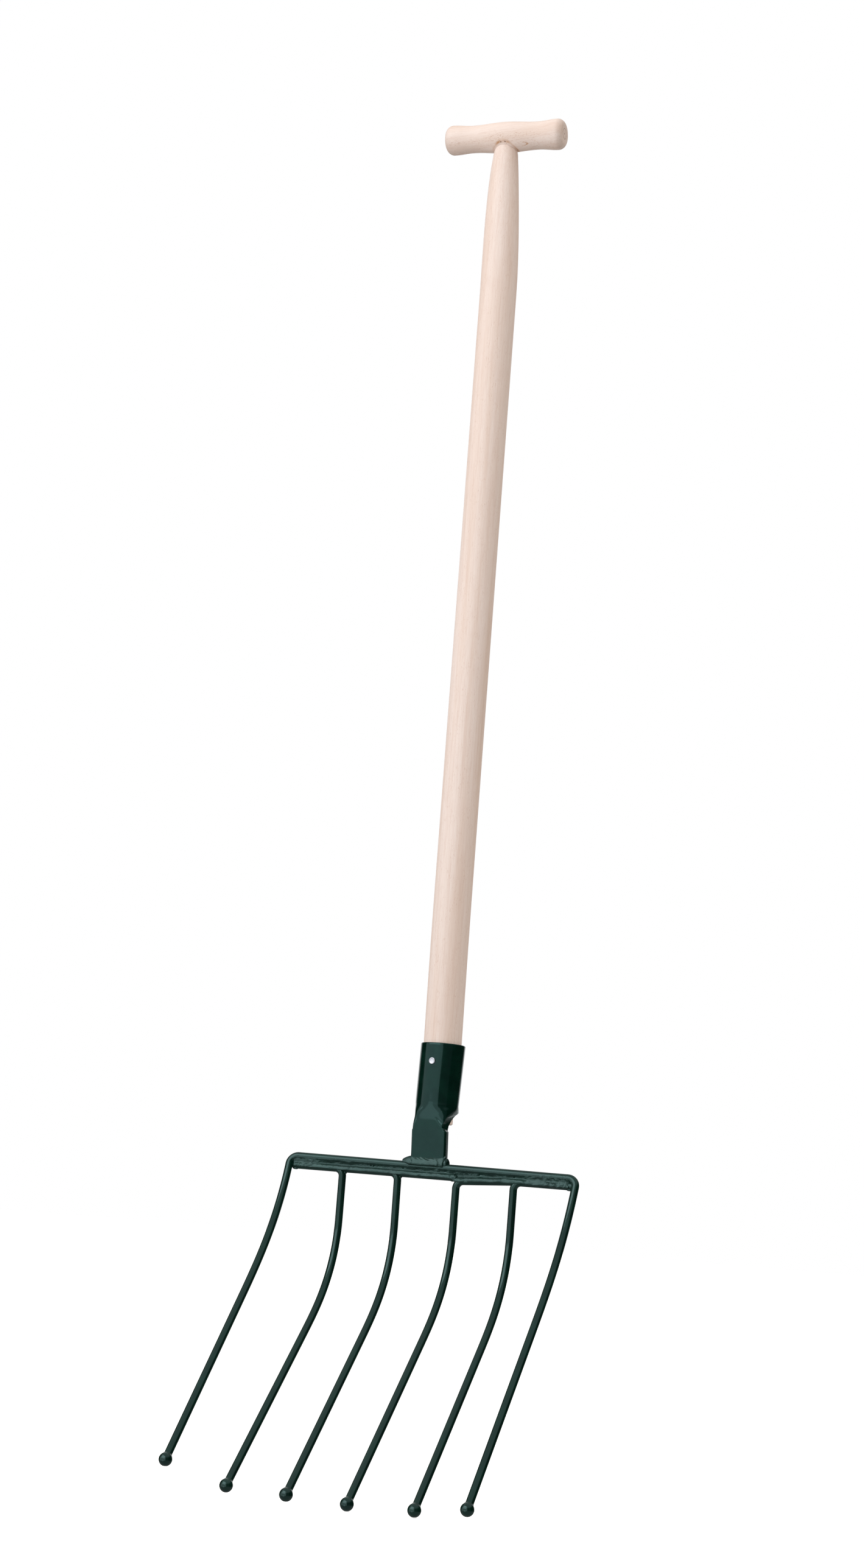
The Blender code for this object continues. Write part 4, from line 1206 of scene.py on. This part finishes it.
    def build(self, bench: Bench, enamel: Enamel) -> None:
        """Makes all rods and balls.

        Args:
            bench: Where the pieces go.
            enamel: Their finish.
        """
        material = enamel.material()
        outer = {index: self.outer(index) for index in (1, 6)}
        inner = {index: self.inner(index) for index in range(2, 6)}
        bar = np.linspace(outer[1][0][0], outer[6][0][0], 60)[1:-1]
        frame_path = np.vstack([outer[1][0][::-1], bar, outer[6][0]])
        ends = [self.place(3) + self.beside(3), self.place(4) - self.beside(4)]
        filler = np.array([[across, -self.forward, self.leg_height] for across in np.linspace(*ends, 16)])
        rods = [("frame_rod", "_bent", frame_path, (0.0, 0.7, -0.7))]
        rods += [(f"tine_{index}", "_bent", points, (0.7, 0.7, 0.0)) for index, (points, _) in inner.items()]
        rods.append(("filler_rod", "_round", filler, (0.0, 0.7, 0.7)))
        for node, ending, path, reference in rods:
            bench.add(node + ending, self.capped(path, reference), material, Slot.ENAMEL, (node,))
        for index, (points, heading) in {**outer, **inner}.items():
            self.make_ball(bench, index, points[-1], heading, material)

    def make_ball(self, bench: Bench, index: int, centre: Array, heading: Array,
                  material: bpy.types.Material) -> None:
        """Makes one ball: an arc from the flat tip to a low collar of enamel, worn a little flat underneath.

        Args:
            bench: Where the piece goes.
            index: The tine's number.
            centre: The ball's centre.
            heading: The tine's heading there.
            material: Its finish.
        """
        turns = np.linspace(math.asin(self.ball_flat / self.ball),
                            math.pi - math.asin(self.collar / self.ball), 40)
        round_side = np.stack([self.ball * np.sin(turns), -self.ball * np.cos(turns)], axis=1)
        lip = np.linspace(0.0, math.pi / 2, 8)[1:, None]
        top = np.array([[self.radius * 0.97, round_side[-1, 1]]])
        collar = top + np.hstack([(self.collar - top[0, 0]) * np.cos(lip),
                                  (self.collar_height - round_side[-1, 1]) * np.sin(lip)])
        seat = np.array([[self.radius * 0.6, self.seat], [0.0, self.seat]])
        outline = np.vstack([[0.0, round_side[0, 1]], round_side, collar, seat])
        rings = turned_to(revolve(outline, 48), -Vector(heading), centre)
        worn = centre[2] - self.ball + self.worn[index - 1]
        under = worn - rings[..., 2]
        rings[..., 2] = np.where(under > 0, worn - 0.12 * under, rings[..., 2])
        bench.add(f"ball_{index}_tip", [(rings, True)], material, Slot.ENAMEL, (f"ball_{index}",), 50.0)


# Welds


@dataclass
class Welds:
    """Hand-laid weld metal under the enamel: the long seam, the beads at the tongue, metal at the joints."""

    seam_rows: int = 900
    seam_columns: int = 46
    seam_ends: Pair = (0.0020, 0.0046)      # from the outer tines' axes
    seam_reach: float = 0.0064              # half its height on the rods
    seam_bead: float = 0.0039               # how far its lower crest stands before the rods' axes
    seam_valley: float = 0.0038
    seam_melt: float = 0.00030              # distance over which two surfaces run into each other
    seam_relief: Triple = (0.00050, 0.00010, 0.00001)   # lumps, small lumps and grains
    seam_scales: float = 0.00040            # scales near its ends
    skin: float = 0.0001                    # how far it lies under the rods' surfaces where it thins out
    tongue_ends: Pair = (0.0064, 0.0016)    # past the tongue's sides
    tongue_depth: float = 0.0034
    tongue_crest: float = -0.45             # from -1 at the lower edge to 1 at the upper one
    tongue_relief: Triple = (0.00018, 0.00026, 0.00011)  # scales, lumps and small lumps
    rear_depth: float = 0.0021
    sharp: float = 70.0                     # degrees

    @staticmethod
    def closed(front: Array, back: float) -> list[tuple[Array, bool]]:
        """Closes a front surface to a flat back: both long edges and both ends run back to one plane.

        Args:
            front: The front's grid.
            back: Place of the plane from front to back.

        Returns:
            The one grid of the weld.
        """
        behind = front.copy()
        behind[..., 1] = back
        return [(np.concatenate([front, behind[:, ::-1]], axis=1), True)]

    @staticmethod
    def scales(along: Array, across: Array, length: float, seed: int) -> Array:
        """Overlapping scales of a hand-laid weld, 0 in their valleys and up to 1.

        The phase grows along the weld, bends forward in the middle and wanders with a noise. Each scale rises
        over the first third of its phase and falls off over the rest.

        Args:
            along: Places along the weld.
            across: Places across it, from -1 to 1.
            length: Length of a scale.
            seed: Seed of the noise.

        Returns:
            The height at each place.
        """
        wander = roughness(seed, along / (2.3 * length), across * 1.3)
        phase = along / length + 0.55 * across ** 2 - 0.45 * across + 0.9 * wander
        part = phase - np.floor(phase)
        return ease(part, 0.0, 0.34) * ease(part, 1.0, 0.10)

    @staticmethod
    def blotches(seed: int, along: Array, height: Array, size: float) -> Array:
        """Rounded lumps of one size: two noises on lattices turned against each other.

        Args:
            seed: Seed of the first noise.
            along: Places along the weld.
            height: Heights on it.
            size: Size of a lump.

        Returns:
            A height about 0 at each place.
        """
        total = 0.0
        for number, turn in enumerate((0.6, -0.75)):
            ahead, beside = math.cos(turn), math.sin(turn)
            total = total + roughness(seed + number, (ahead * along + beside * height) / size,
                                      (ahead * height - beside * along) / size)
        return 0.7 * total

    def seam(self, head: Head) -> list[tuple[Array, bool]]:
        """The seam in the groove between the two rows of rods.

        Its base follows the fronts of both rods, with a bead on the lower one, and fills the groove between
        them to a shallow valley. Lumps and fine grains lie on it, and near its ends scales too. Beyond a
        wandering line near the upper rod's crest, and at its lower edge, it dives under the rods' surfaces.

        Args:
            head: The rods that it joins.

        Returns:
            The one grid of the seam.
        """
        left, right = head.place(1) + self.seam_ends[0], head.place(6) - self.seam_ends[1]
        along = np.linspace(left, right, self.seam_rows)[:, None]
        share = np.linspace(-1.0, 1.0, self.seam_columns)[None, :]
        bar, low = head.bar_height(along), head.leg_at(along)
        height = (low + bar) / 2 - 0.0002 + (self.seam_reach + (head.leg_height - low) / 2) * share
        upper, lower = (np.sqrt(np.clip(head.radius ** 2 - (height - axis) ** 2, 0.0, None))
                        for axis in (bar, low))
        near_end = ease(along, left + 0.034, left + 0.016) + ease(along, right - 0.054, right - 0.036)

        # The bead on the lower rods, whose crest wanders and sinks at the tines, and the groove's valley.
        drawn = sum(bell(along - head.place(index), 0.0026) for index in range(2, 6))
        crest = (low - 0.0009 + 0.0007 * line_noise(28, along, 0.0085)
                 + 0.0004 * line_noise(29, along, 0.0028) - 0.0013 * drawn)
        bead = (self.seam_bead + 0.0002 * line_noise(20, along, 0.017)
                - (height - crest) ** 2 / np.where(height > crest, 0.0070, 0.0050))
        slope = 0.36 - 0.16 * near_end
        valley = self.seam_valley - slope * (bar - 0.0002 + 0.0006 * line_noise(30, along, 0.0052) - height)
        soft = self.seam_melt
        valley = -soft * np.log(np.exp(-valley / soft) + np.exp(-(head.radius + self.skin) / soft))
        base = soft * np.log(sum(np.exp(surface / soft) for surface in (
            valley, upper - self.skin, bead, lower - self.skin))) - self.skin

        # What lies on them, and the wandering border beyond which the seam dives under the upper rod.
        lumps, small_lumps, grains = self.seam_relief
        relief = (self.seam_scales * near_end * self.scales(along, share, 0.0066, 25)
                  + (lumps - 0.00005 * near_end) * self.blotches(21, along, height, 0.0048)
                  + (small_lumps + 0.00006 * near_end) * self.blotches(36, along, height, 0.0021)
                  + grains * roughness(23, along / 0.0013, height / 0.0012))
        wander = 0.13 * line_noise(26, along, 0.0047) + 0.06 * line_noise(27, along, 0.0016)
        border = share + 1.5 * wander - 0.22 * near_end
        base = upper + (base - upper) * np.where(share > 0.0, ease(border, 0.55, 0.15), 1.0)
        ends = np.clip(np.minimum(along - left, right - along) / 0.0035, 0.0, 1.0)
        sunk = 0.0022 * np.clip((border - 0.52) / 0.4, 0.0, None) ** 2 + 0.0018 * ease(share, -0.84, -1.0)
        cover = 0.00045 * ease(share, 0.10, -0.25) * ease(share, -0.98, -0.72)
        depth = (base + cover + relief * ease(border, 0.50, 0.10) - sunk) * np.sqrt(1.0 - (1.0 - ends) ** 2)
        front = np.stack([along + 0 * share, -head.forward - depth, height], axis=-1)
        return self.closed(front, -head.forward - 0.0003)

    def tongue(self, socket: Socket) -> list[tuple[Array, bool]]:
        """The fillet at the tongue's foot.

        Over the height it slopes out from the tongue's face to a crest low down, and turns under sharply. It
        is pointed at its left end and full at its right one, with a shallow dip before that end. Its edges
        wander, and scales and lumps ripple it.

        Args:
            socket: The plate that it joins to the bar.

        Returns:
            The one grid of the fillet.
        """
        left = socket.tongue_shift - socket.tongue_width / 2 - self.tongue_ends[0]
        right = socket.tongue_shift + socket.tongue_width / 2 + self.tongue_ends[1]
        along = np.linspace(left, right, 300)[:, None]
        share = np.linspace(-1.0, 1.0, 70)[None, :]
        place = (along - left) / (right - left)
        full = ease(place, -0.04, 0.22) ** 0.7
        top = 0.0052 + 0.0052 * full + 0.0006 * line_noise(34, along, 0.006) + 0.0008 * ease(place, 0.7, 0.95)
        bottom = 0.0036 - 0.0034 * full - 0.0004 * line_noise(35, along, 0.007)
        height = (top + bottom) / 2 + (top - bottom) / 2 * share
        over = np.clip((share - self.tongue_crest) / (1.0 - self.tongue_crest), 0.0, 1.0)
        under = np.clip((self.tongue_crest - share) / (1.0 + self.tongue_crest), 0.0, 1.0)
        arch = (1.0 - over ** 1.5) * np.sqrt(np.clip(1.0 - under ** 2.2, 0.0, None))
        dip = 1.0 - 0.22 * bell(place - 0.88, 0.05)
        scales, lumps, small_lumps = self.tongue_relief
        relief = (scales * self.scales(along, -share, 0.0085, 33)
                  + lumps * self.blotches(31, along, height, 0.0045)
                  + small_lumps * self.blotches(44, along, height, 0.0018))
        depth = self.tongue_depth * arch * dip * (0.35 + 0.65 * full) * ease(place, 1.02, 0.93) ** 0.5
        depth = depth + relief * np.sqrt(arch) * full
        front = np.stack([along + 0 * share, -socket.tongue_forward + 0.0009 - depth, height], axis=-1)
        return self.closed(front, -socket.tongue_forward + 0.0030)

    def drop_of_metal(self, centre: Triple, sizes: Triple, seed: int) -> Array:
        """A lump of weld metal: an egg whose radius a little noise changes.

        Args:
            centre: The lump's centre.
            sizes: Its three radii.
            seed: Seed of the noise.

        Returns:
            The grid, to be closed round.
        """
        polar = np.linspace(0.0, math.pi, 40)[:, None]
        turns = 2 * math.pi * np.arange(60)[None, :] / 60
        across, along, up = np.sin(polar) * np.cos(turns), np.sin(polar) * np.sin(turns), np.cos(polar)
        bumpy = 1.0 + 0.04 * roughness(seed, 1.7 * across + 7, 1.7 * up + 2.3 * along + 9)
        shape = np.stack([across, along, up + 0 * turns], axis=-1)
        return np.array(centre) + shape * bumpy[..., None] * np.array(sizes)

    def stub(self, start: float, end: float, height: float, radius: float, depth: float, seed: int) -> Array:
        """Metal along the bar between two sideways places: a rod with round ends and an uneven skin.

        Args:
            start: Where it begins.
            end: Where it ends.
            height: Its axis's height.
            radius: Its radius.
            depth: Its axis's place from front to back.
            seed: Seed of the skin's noise.

        Returns:
            The grid, to be closed round.
        """
        share = np.linspace(-1.0, 1.0, 40)
        rounded = np.sqrt(np.clip(1.0 - np.abs(share) ** 3.5, 0.0, None))
        path = np.stack([start + (end - start) * (share + 1.0) / 2, depth + 0 * share, height + 0 * share],
                        axis=1)
        turns = 2 * math.pi * np.arange(36) / 36
        skin = roughness(seed, 2.0 * share[:, None] + 5, 2.2 * np.cos(turns) + 2.2 * np.sin(turns) + 9)
        return tube(path, radius * rounded[:, None] * (0.97 + 0.02 * skin), 36, np.array([0.0, 0.7, 0.7]))

    def fillet(self, corner: Pair, size: Pair, inside: Pair, depth: float) -> Array:
        """A hollow fillet between a tine's side and the bar's underside.

        Its free edge is a quarter ellipse round the corner's far point. At each point of that edge the
        section is an ellipse that reaches back into the metal.

        Args:
            corner: Sideways place and height where tine and bar would meet.
            size: How far the fillet runs along the bar, with its sign, and down the tine.
            inside: A point within the metal, from the corner.
            depth: Place of the rods' axes from front to back.

        Returns:
            The grid, to be closed round.
        """
        turns = np.linspace(0.0, math.pi / 2, 16)[:, None]
        sunk = math.copysign(0.0007, -size[0]) * (np.sin(turns) ** 6)
        edge = np.hstack([corner[0] + size[0] * (1.0 - np.sin(turns)) + sunk,
                          corner[1] - size[1] * (1.0 - np.cos(turns)) + 0.0006 * np.cos(turns) ** 6])
        back = np.array(corner) + np.array(inside)
        around = 2 * math.pi * np.arange(28)[None, :, None] / 28
        plane = edge[:, None] + (back - edge)[:, None] * (1.0 - np.cos(around)) / 2
        thick = 0.0021 * (1.0 - 0.5 * np.abs(2 * turns / math.pi * 2 - 1.0) ** 3)
        grid = np.stack([plane[..., 0], depth + thick * np.sin(around[..., 0]), plane[..., 1]], axis=-1)
        ends = [grid[end].mean(axis=0, keepdims=True).repeat(28, axis=0)[None] for end in (0, -1)]
        return np.concatenate([ends[0], grid, ends[1]])

    def joints(self, head: Head) -> list[tuple[Array, bool]]:
        """Metal at the joints of the lower row: at both ends of the bar and beside each elbow.

        Args:
            head: The rods that it joins.

        Returns:
            The grids.
        """
        depth, low, radius = -head.forward, head.leg_height, head.radius
        under = low - radius
        parts = []
        for index, outward in ((1, -1.0), (6, 1.0)):
            place = head.place(index)
            side = place - outward * (radius - 0.0002)
            parts += [self.stub(place - outward * 0.0012, place - outward * 0.0105, low + 0.0002,
                                radius * 1.02, depth, 50 + index),
                      self.drop_of_metal((side - outward * 0.0026, depth - 0.0006, under + 0.0006),
                                         (0.0031, 0.0020, 0.0012), 60 + index)]
        for index in range(2, 6):
            outward = -head.side(index).value
            place = head.place(index)
            size = (0.0026, 0.0036) if outward > 0 else (0.0016, 0.0026)
            parts += [self.stub(place - outward * 0.002, place + outward * 0.0075,
                                low - 0.2 * head.drop(index), radius * 0.99, depth, 50 + index),
                      self.fillet((place + radius - 0.0003, under + 0.0003), size, (-0.002, 0.002), depth)]
        return [(part, True) for part in parts]

    def rear(self, socket: Socket) -> list[tuple[Array, bool]]:
        """The bead behind the tongue's foot: a parabola over its height, rippled by a sine and a noise.

        Args:
            socket: The plate that it joins to the bar.

        Returns:
            The one grid of the bead.
        """
        inside = socket.tongue_width / 2 - socket.plate - 0.0009
        along = np.linspace(-inside, inside, 120)[:, None] + socket.tongue_shift
        share = np.linspace(-1.0, 1.0, 24)[None, :]
        ripple = 1.0 + 0.12 * np.sin(along / 0.0011) + 0.10 * roughness(41, along / 0.003, share)
        ends = np.clip(1.0 - np.abs((along - socket.tongue_shift) / inside) ** 14, 0.02, 1.0) ** 0.5
        depth = self.rear_depth * (1.0 - share ** 2) * ripple * ends
        base = -socket.tongue_forward + socket.plate
        height = socket.foot + 0.0010 + 0.0026 * share * ends
        front = np.stack([along + 0 * share, base + 0.0004 + depth, height], axis=-1)
        return self.closed(front, base - 0.0006)

    def build(self, bench: Bench, head: Head, socket: Socket, enamel: Enamel) -> None:
        """Makes the three beads, the lump at the tongue's right and the metal at the joints.

        Args:
            bench: Where the pieces go.
            head: The rods that they join.
            socket: The plate that they join to the rods.
            enamel: Their finish.
        """
        material = enamel.material()
        right = socket.tongue_shift + socket.tongue_width / 2
        lump = self.drop_of_metal((right + 0.0016, -0.0150, 0.0042), (0.0034, 0.0050, 0.0056), 5)
        for name, grids, stands_for in (("seam_weld_bead", self.seam(head), ("seam_weld",)),
                                        ("tongue_weld_fillet", self.tongue(socket), ("tongue_weld_front",)),
                                        ("tongue_weld_lump", [(lump, True)], ()),
                                        ("joint_weld_metal", self.joints(head), ()),
                                        ("tongue_weld_back", self.rear(socket), ("tongue_weld_rear",))):
            bench.add(name, grids, material, Slot.ENAMEL, stands_for, self.sharp)


# Studio


class Ray(Enum):
    """Kinds of light path that see the surroundings differently."""

    CAMERA = "Is Camera Ray"
    TRANSMISSION = "Is Transmission Ray"
    GLOSSY = "Is Glossy Ray"
    DIFFUSE = "Is Diffuse Ray"


@dataclass(frozen=True)
class Panel:
    """A flat soft light that the camera doesn't see."""

    name: str
    centre: Triple
    facing: Triple
    width: float
    height: float
    level: float                    # radiance, where a white wall's is 1
    mirrored: bool = True           # whether glossy surfaces see it

    def hang(self) -> None:
        """Adds the light, with the power that gives its radiance: level times pi times its area."""
        data = bpy.data.lights.new(self.name, "AREA")
        data.shape, data.size, data.size_y = "RECTANGLE", self.width, self.height
        data.energy = self.level * math.pi * self.width * self.height
        panel = bpy.data.objects.new(self.name, data)
        bpy.context.scene.collection.objects.link(panel)
        turn = (-Vector(self.facing).normalized()).to_track_quat("Z", "Y")
        panel.matrix_world = Matrix.Translation(self.centre) @ turn.to_matrix().to_4x4()
        panel.visible_camera = False
        panel.visible_glossy = self.mirrored


@dataclass(frozen=True)
class Screen:
    """A panel beside the fork, on a chord of a circle round it."""

    name: str
    near: float                     # its two ends, in degrees round from the front to the right
    far: float
    low: float
    high: float
    level: float

    def hang(self, reach: float) -> None:
        """Adds the light.

        Args:
            reach: The circle's radius.
        """
        turns = np.radians([self.near, self.far])
        ends = reach * np.stack([np.sin(turns), -np.cos(turns)], axis=1)
        middle = ends.mean(axis=0)
        Panel(self.name, (*middle, (self.low + self.high) / 2), (*-middle, 0.0),
              float(np.linalg.norm(ends[1] - ends[0])), self.high - self.low, self.level).hang()


@dataclass(frozen=True)
class Glow:
    """What one kind of ray sees of the surroundings round one direction."""

    ray: Ray
    towards: Triple
    reach: Pair                     # cosines to that direction where it begins and is complete
    levels: Pair                    # least and most radiance


@dataclass
class Studio:
    """White floor and surroundings, soft panels at the left, weaker ones right and above, and the camera."""

    reach: float = 2.3              # distance of the screens
    screens: tuple[Screen, ...] = (Screen("soft_panel", 19.5, -80.0, -0.45, 2.3, 0.76),
                                   Screen("key_panel", 3.0, -58.0, 0.62, 2.9, 1.20),
                                   Screen("fill_panel", 20.5, 73.0, -0.6, 2.3, 0.07))
    ceiling: Panel = Panel("top_panel", (-0.70, -0.50, 2.95), (0.0, 0.0, -1.0), 2.6, 3.0, 0.62, False)
    glows: tuple[Glow, ...] = (Glow(Ray.GLOSSY, (-0.334, 0.943, 0.0), (0.72, 0.90), (0.01, 1.0)),
                               Glow(Ray.GLOSSY, (0.0, 0.0, 1.0), (0.45, 0.80), (0.0, 0.50)),
                               Glow(Ray.GLOSSY, (0.0, 0.0, -1.0), (0.06, 0.40), (0.0, 0.27)),
                               Glow(Ray.GLOSSY, (-0.323, -0.888, -0.326), (0.95, 0.98), (0.0, 0.55)),
                               Glow(Ray.DIFFUSE, (0.43, 0.58, 0.69), (-0.7, 1.0), (0.27, 0.90)))
    white: Colour = (1.0, 1.0, 1.0, 1.0)
    warm: Colour = (1.0, 0.915, 0.83, 1.0)      # what dull surfaces get from around
    floor: str = "#e9e9e8"
    floor_glow: float = 0.74
    floor_radii: tuple[float, ...] = (0.0, 0.5, 2.0, 7.0)
    floor_height: float = -0.0002
    focal_length: float = 60.752    # on a 36 mm long side
    yaw: float = -0.35170           # radians
    pitch: float = -0.13757
    roll: float = -0.07619
    stand: Triple = (0.73854, 373.81478, 2579.54125)    # mm to the left, up and back, as the picture lies

    def camera(self, bench: Bench) -> None:
        """Stands the camera where the photograph's perspective puts it.

        Args:
            bench: Gives the place of the workshop frame.
        """
        cz, sz, cp, sp, cr, sr = (turned(angle) for angle in (self.yaw, self.pitch, self.roll)
                                  for turned in (math.cos, math.sin))
        right = np.array([cr * cz - sr * sp * sz, -cr * sz - sr * sp * cz, -sr * cp])
        up = np.array([sr * cz + cr * sp * sz, -sr * sz + cr * sp * cz, cr * cp])
        ahead = np.array([cp * sz, cp * cz, -sp])
        data = bpy.data.cameras.new("camera")
        data.lens, data.sensor_width = self.focal_length, 36.0
        data.clip_start, data.clip_end = 0.05, 60.0
        camera = bpy.data.objects.new("camera", data)
        bpy.context.scene.collection.objects.link(camera)
        turn = Matrix(np.stack([right, up, -ahead], axis=1).tolist())
        left, over, back = np.array(self.stand) * MM
        spot = -left * right + over * up - back * ahead
        camera.matrix_world = Matrix.Translation(bench.at(tuple(spot))) @ turn.to_4x4()
        bpy.context.scene.camera = camera

    def lamps(self) -> None:
        """Hangs the panels. The soft panel's right edge is on the camera's line of sight."""
        for screen in self.screens:
            screen.hang(self.reach)
        self.ceiling.hang()

    def surroundings(self) -> None:
        """White all round for the camera, and a soft light for dull surfaces that is strongest from above.

        Glossy surfaces see white behind the fork, weaker light above, below and from the camera's own side,
        and next to nothing in between. Each light depends on the cosine between a ray and its direction, and
        the strongest of them counts.
        """
        world = bpy.data.worlds.new("studio")
        bpy.context.scene.world = world
        world.use_nodes = True
        tree = world.node_tree
        back = tree.nodes["Background"]
        path = add_node(tree, "ShaderNodeLightPath").outputs
        direction = add_node(tree, "ShaderNodeTexCoord").outputs["Generated"]
        strength = add_node(tree, "ShaderNodeMath", {"operation": "MAXIMUM"},
                            {0: path[Ray.CAMERA.value], 1: path[Ray.TRANSMISSION.value]}).outputs[0]
        for glow in self.glows:
            cosine = add_node(tree, "ShaderNodeVectorMath", {"operation": "DOT_PRODUCT", 1: glow.towards},
                              {0: direction}).outputs["Value"]
            level = add_node(tree, "ShaderNodeMapRange",
                             {"interpolation_type": "SMOOTHSTEP", "From Min": glow.reach[0],
                              "From Max": glow.reach[1], "To Min": glow.levels[0], "To Max": glow.levels[1]},
                             {"Value": cosine}).outputs["Result"]
            light = add_node(tree, "ShaderNodeMath", {"operation": "MULTIPLY"},
                             {0: level, 1: path[glow.ray.value]}).outputs[0]
            strength = add_node(tree, "ShaderNodeMath", {"operation": "MAXIMUM"},
                                {0: strength, 1: light}).outputs[0]
        colour = add_node(tree, "ShaderNodeMix", {"data_type": "RGBA", 6: self.white, 7: self.warm},
                          {0: path[Ray.DIFFUSE.value]}).outputs[2]
        tree.links.new(colour, back.inputs["Color"])
        tree.links.new(strength, back.inputs["Strength"])

    def lay_floor(self) -> None:
        """A pale floor that the camera sees as white, except in the fork's shadow."""
        turns = 2 * math.pi * np.arange(96) / 96
        radii = np.array(self.floor_radii)[:, None]
        level = 0 * radii + 0 * turns + self.floor_height
        grid = np.stack([radii * np.cos(turns), radii * np.sin(turns), level], axis=-1)
        mesh = mesh_of("floor", [(grid, True)], 180.0)
        if mesh.polygons[0].normal.z < 0:
            mesh.flip_normals()
        material, tree, shader = start_material("pale_painted_floor")
        shader.inputs["Base Color"].default_value = linear(self.floor)
        shader.inputs["Roughness"].default_value = 0.9
        shader.inputs["Specular IOR Level"].default_value = 0.1
        shader.inputs["Emission Color"].default_value = self.white
        seen = add_node(tree, "ShaderNodeLightPath").outputs[Ray.CAMERA.value]
        glow = add_node(tree, "ShaderNodeMath", {"operation": "MULTIPLY", 1: self.floor_glow},
                        {0: seen}).outputs[0]
        tree.links.new(glow, shader.inputs["Emission Strength"])
        mesh.materials.append(material)
        floor = bpy.data.objects.new("floor", mesh)
        bpy.context.scene.collection.objects.link(floor)
        floor.visible_glossy = floor.visible_diffuse = False

    def build(self, bench: Bench) -> None:
        """Sets up camera, light, surroundings and floor.

        Args:
            bench: Gives the place of the workshop frame.
        """
        self.camera(bench)
        self.lamps()
        self.surroundings()
        self.lay_floor()
        bpy.context.scene.view_settings.view_transform = "Standard"


def main() -> None:
    """Builds the fork's pieces in order, then the studio round them."""
    logging.basicConfig(level=logging.INFO, format="%(name)s %(message)s")
    bench = Bench(workshop_origin())
    grip, shaft, socket, head = Grip(), Shaft(), Socket(), Head()
    along_grip = Beech("steamed_beech_grip", bench.at((Grip.shift, 0.0, Grip.height)),
                       Euler((0.0, math.radians(-84.0), 0.0)),
                       Pattern((0.60, 0.60, 2.0), (0.59, 0.66), (0.0, 0.44), 1.0, 1.3))
    along_shaft = Beech("steamed_beech_shaft", bench.at((0.006, 0.004, 0.0)), Euler((0.0, 0.0, 0.0)),
                        Pattern((0.60, 0.60, 3.2), (0.62, 0.69), (0.0, 0.24), 1.0, 1.3))
    coat = Enamel("green_enamel_sprayed", swell=0.006, depth=0.00003)
    tube_coat = Enamel("green_enamel_on_rolled_plate", swell=0.0021, depth=0.00004, drawn=14.0, index=1.58,
                       tint=(0.54, 0.98, 0.98, 1.0))
    weld_coat = Enamel("green_enamel_over_weld", swell=0.0016, depth=0.00004, gloss=(0.20, 0.30))
    grip.build(bench, along_grip)
    shaft.build(bench, along_shaft, grip)
    Brads().build(bench, grip, PinSteel())
    socket.build(bench, tube_coat)
    SocketNail().build(bench, socket, Zinc())
    head.build(bench, coat)
    Welds().build(bench, head, socket, weld_coat)
    Studio().build(bench)
    LOG.info("%d pieces", bench.count)


if __name__ == "__main__":
    main()
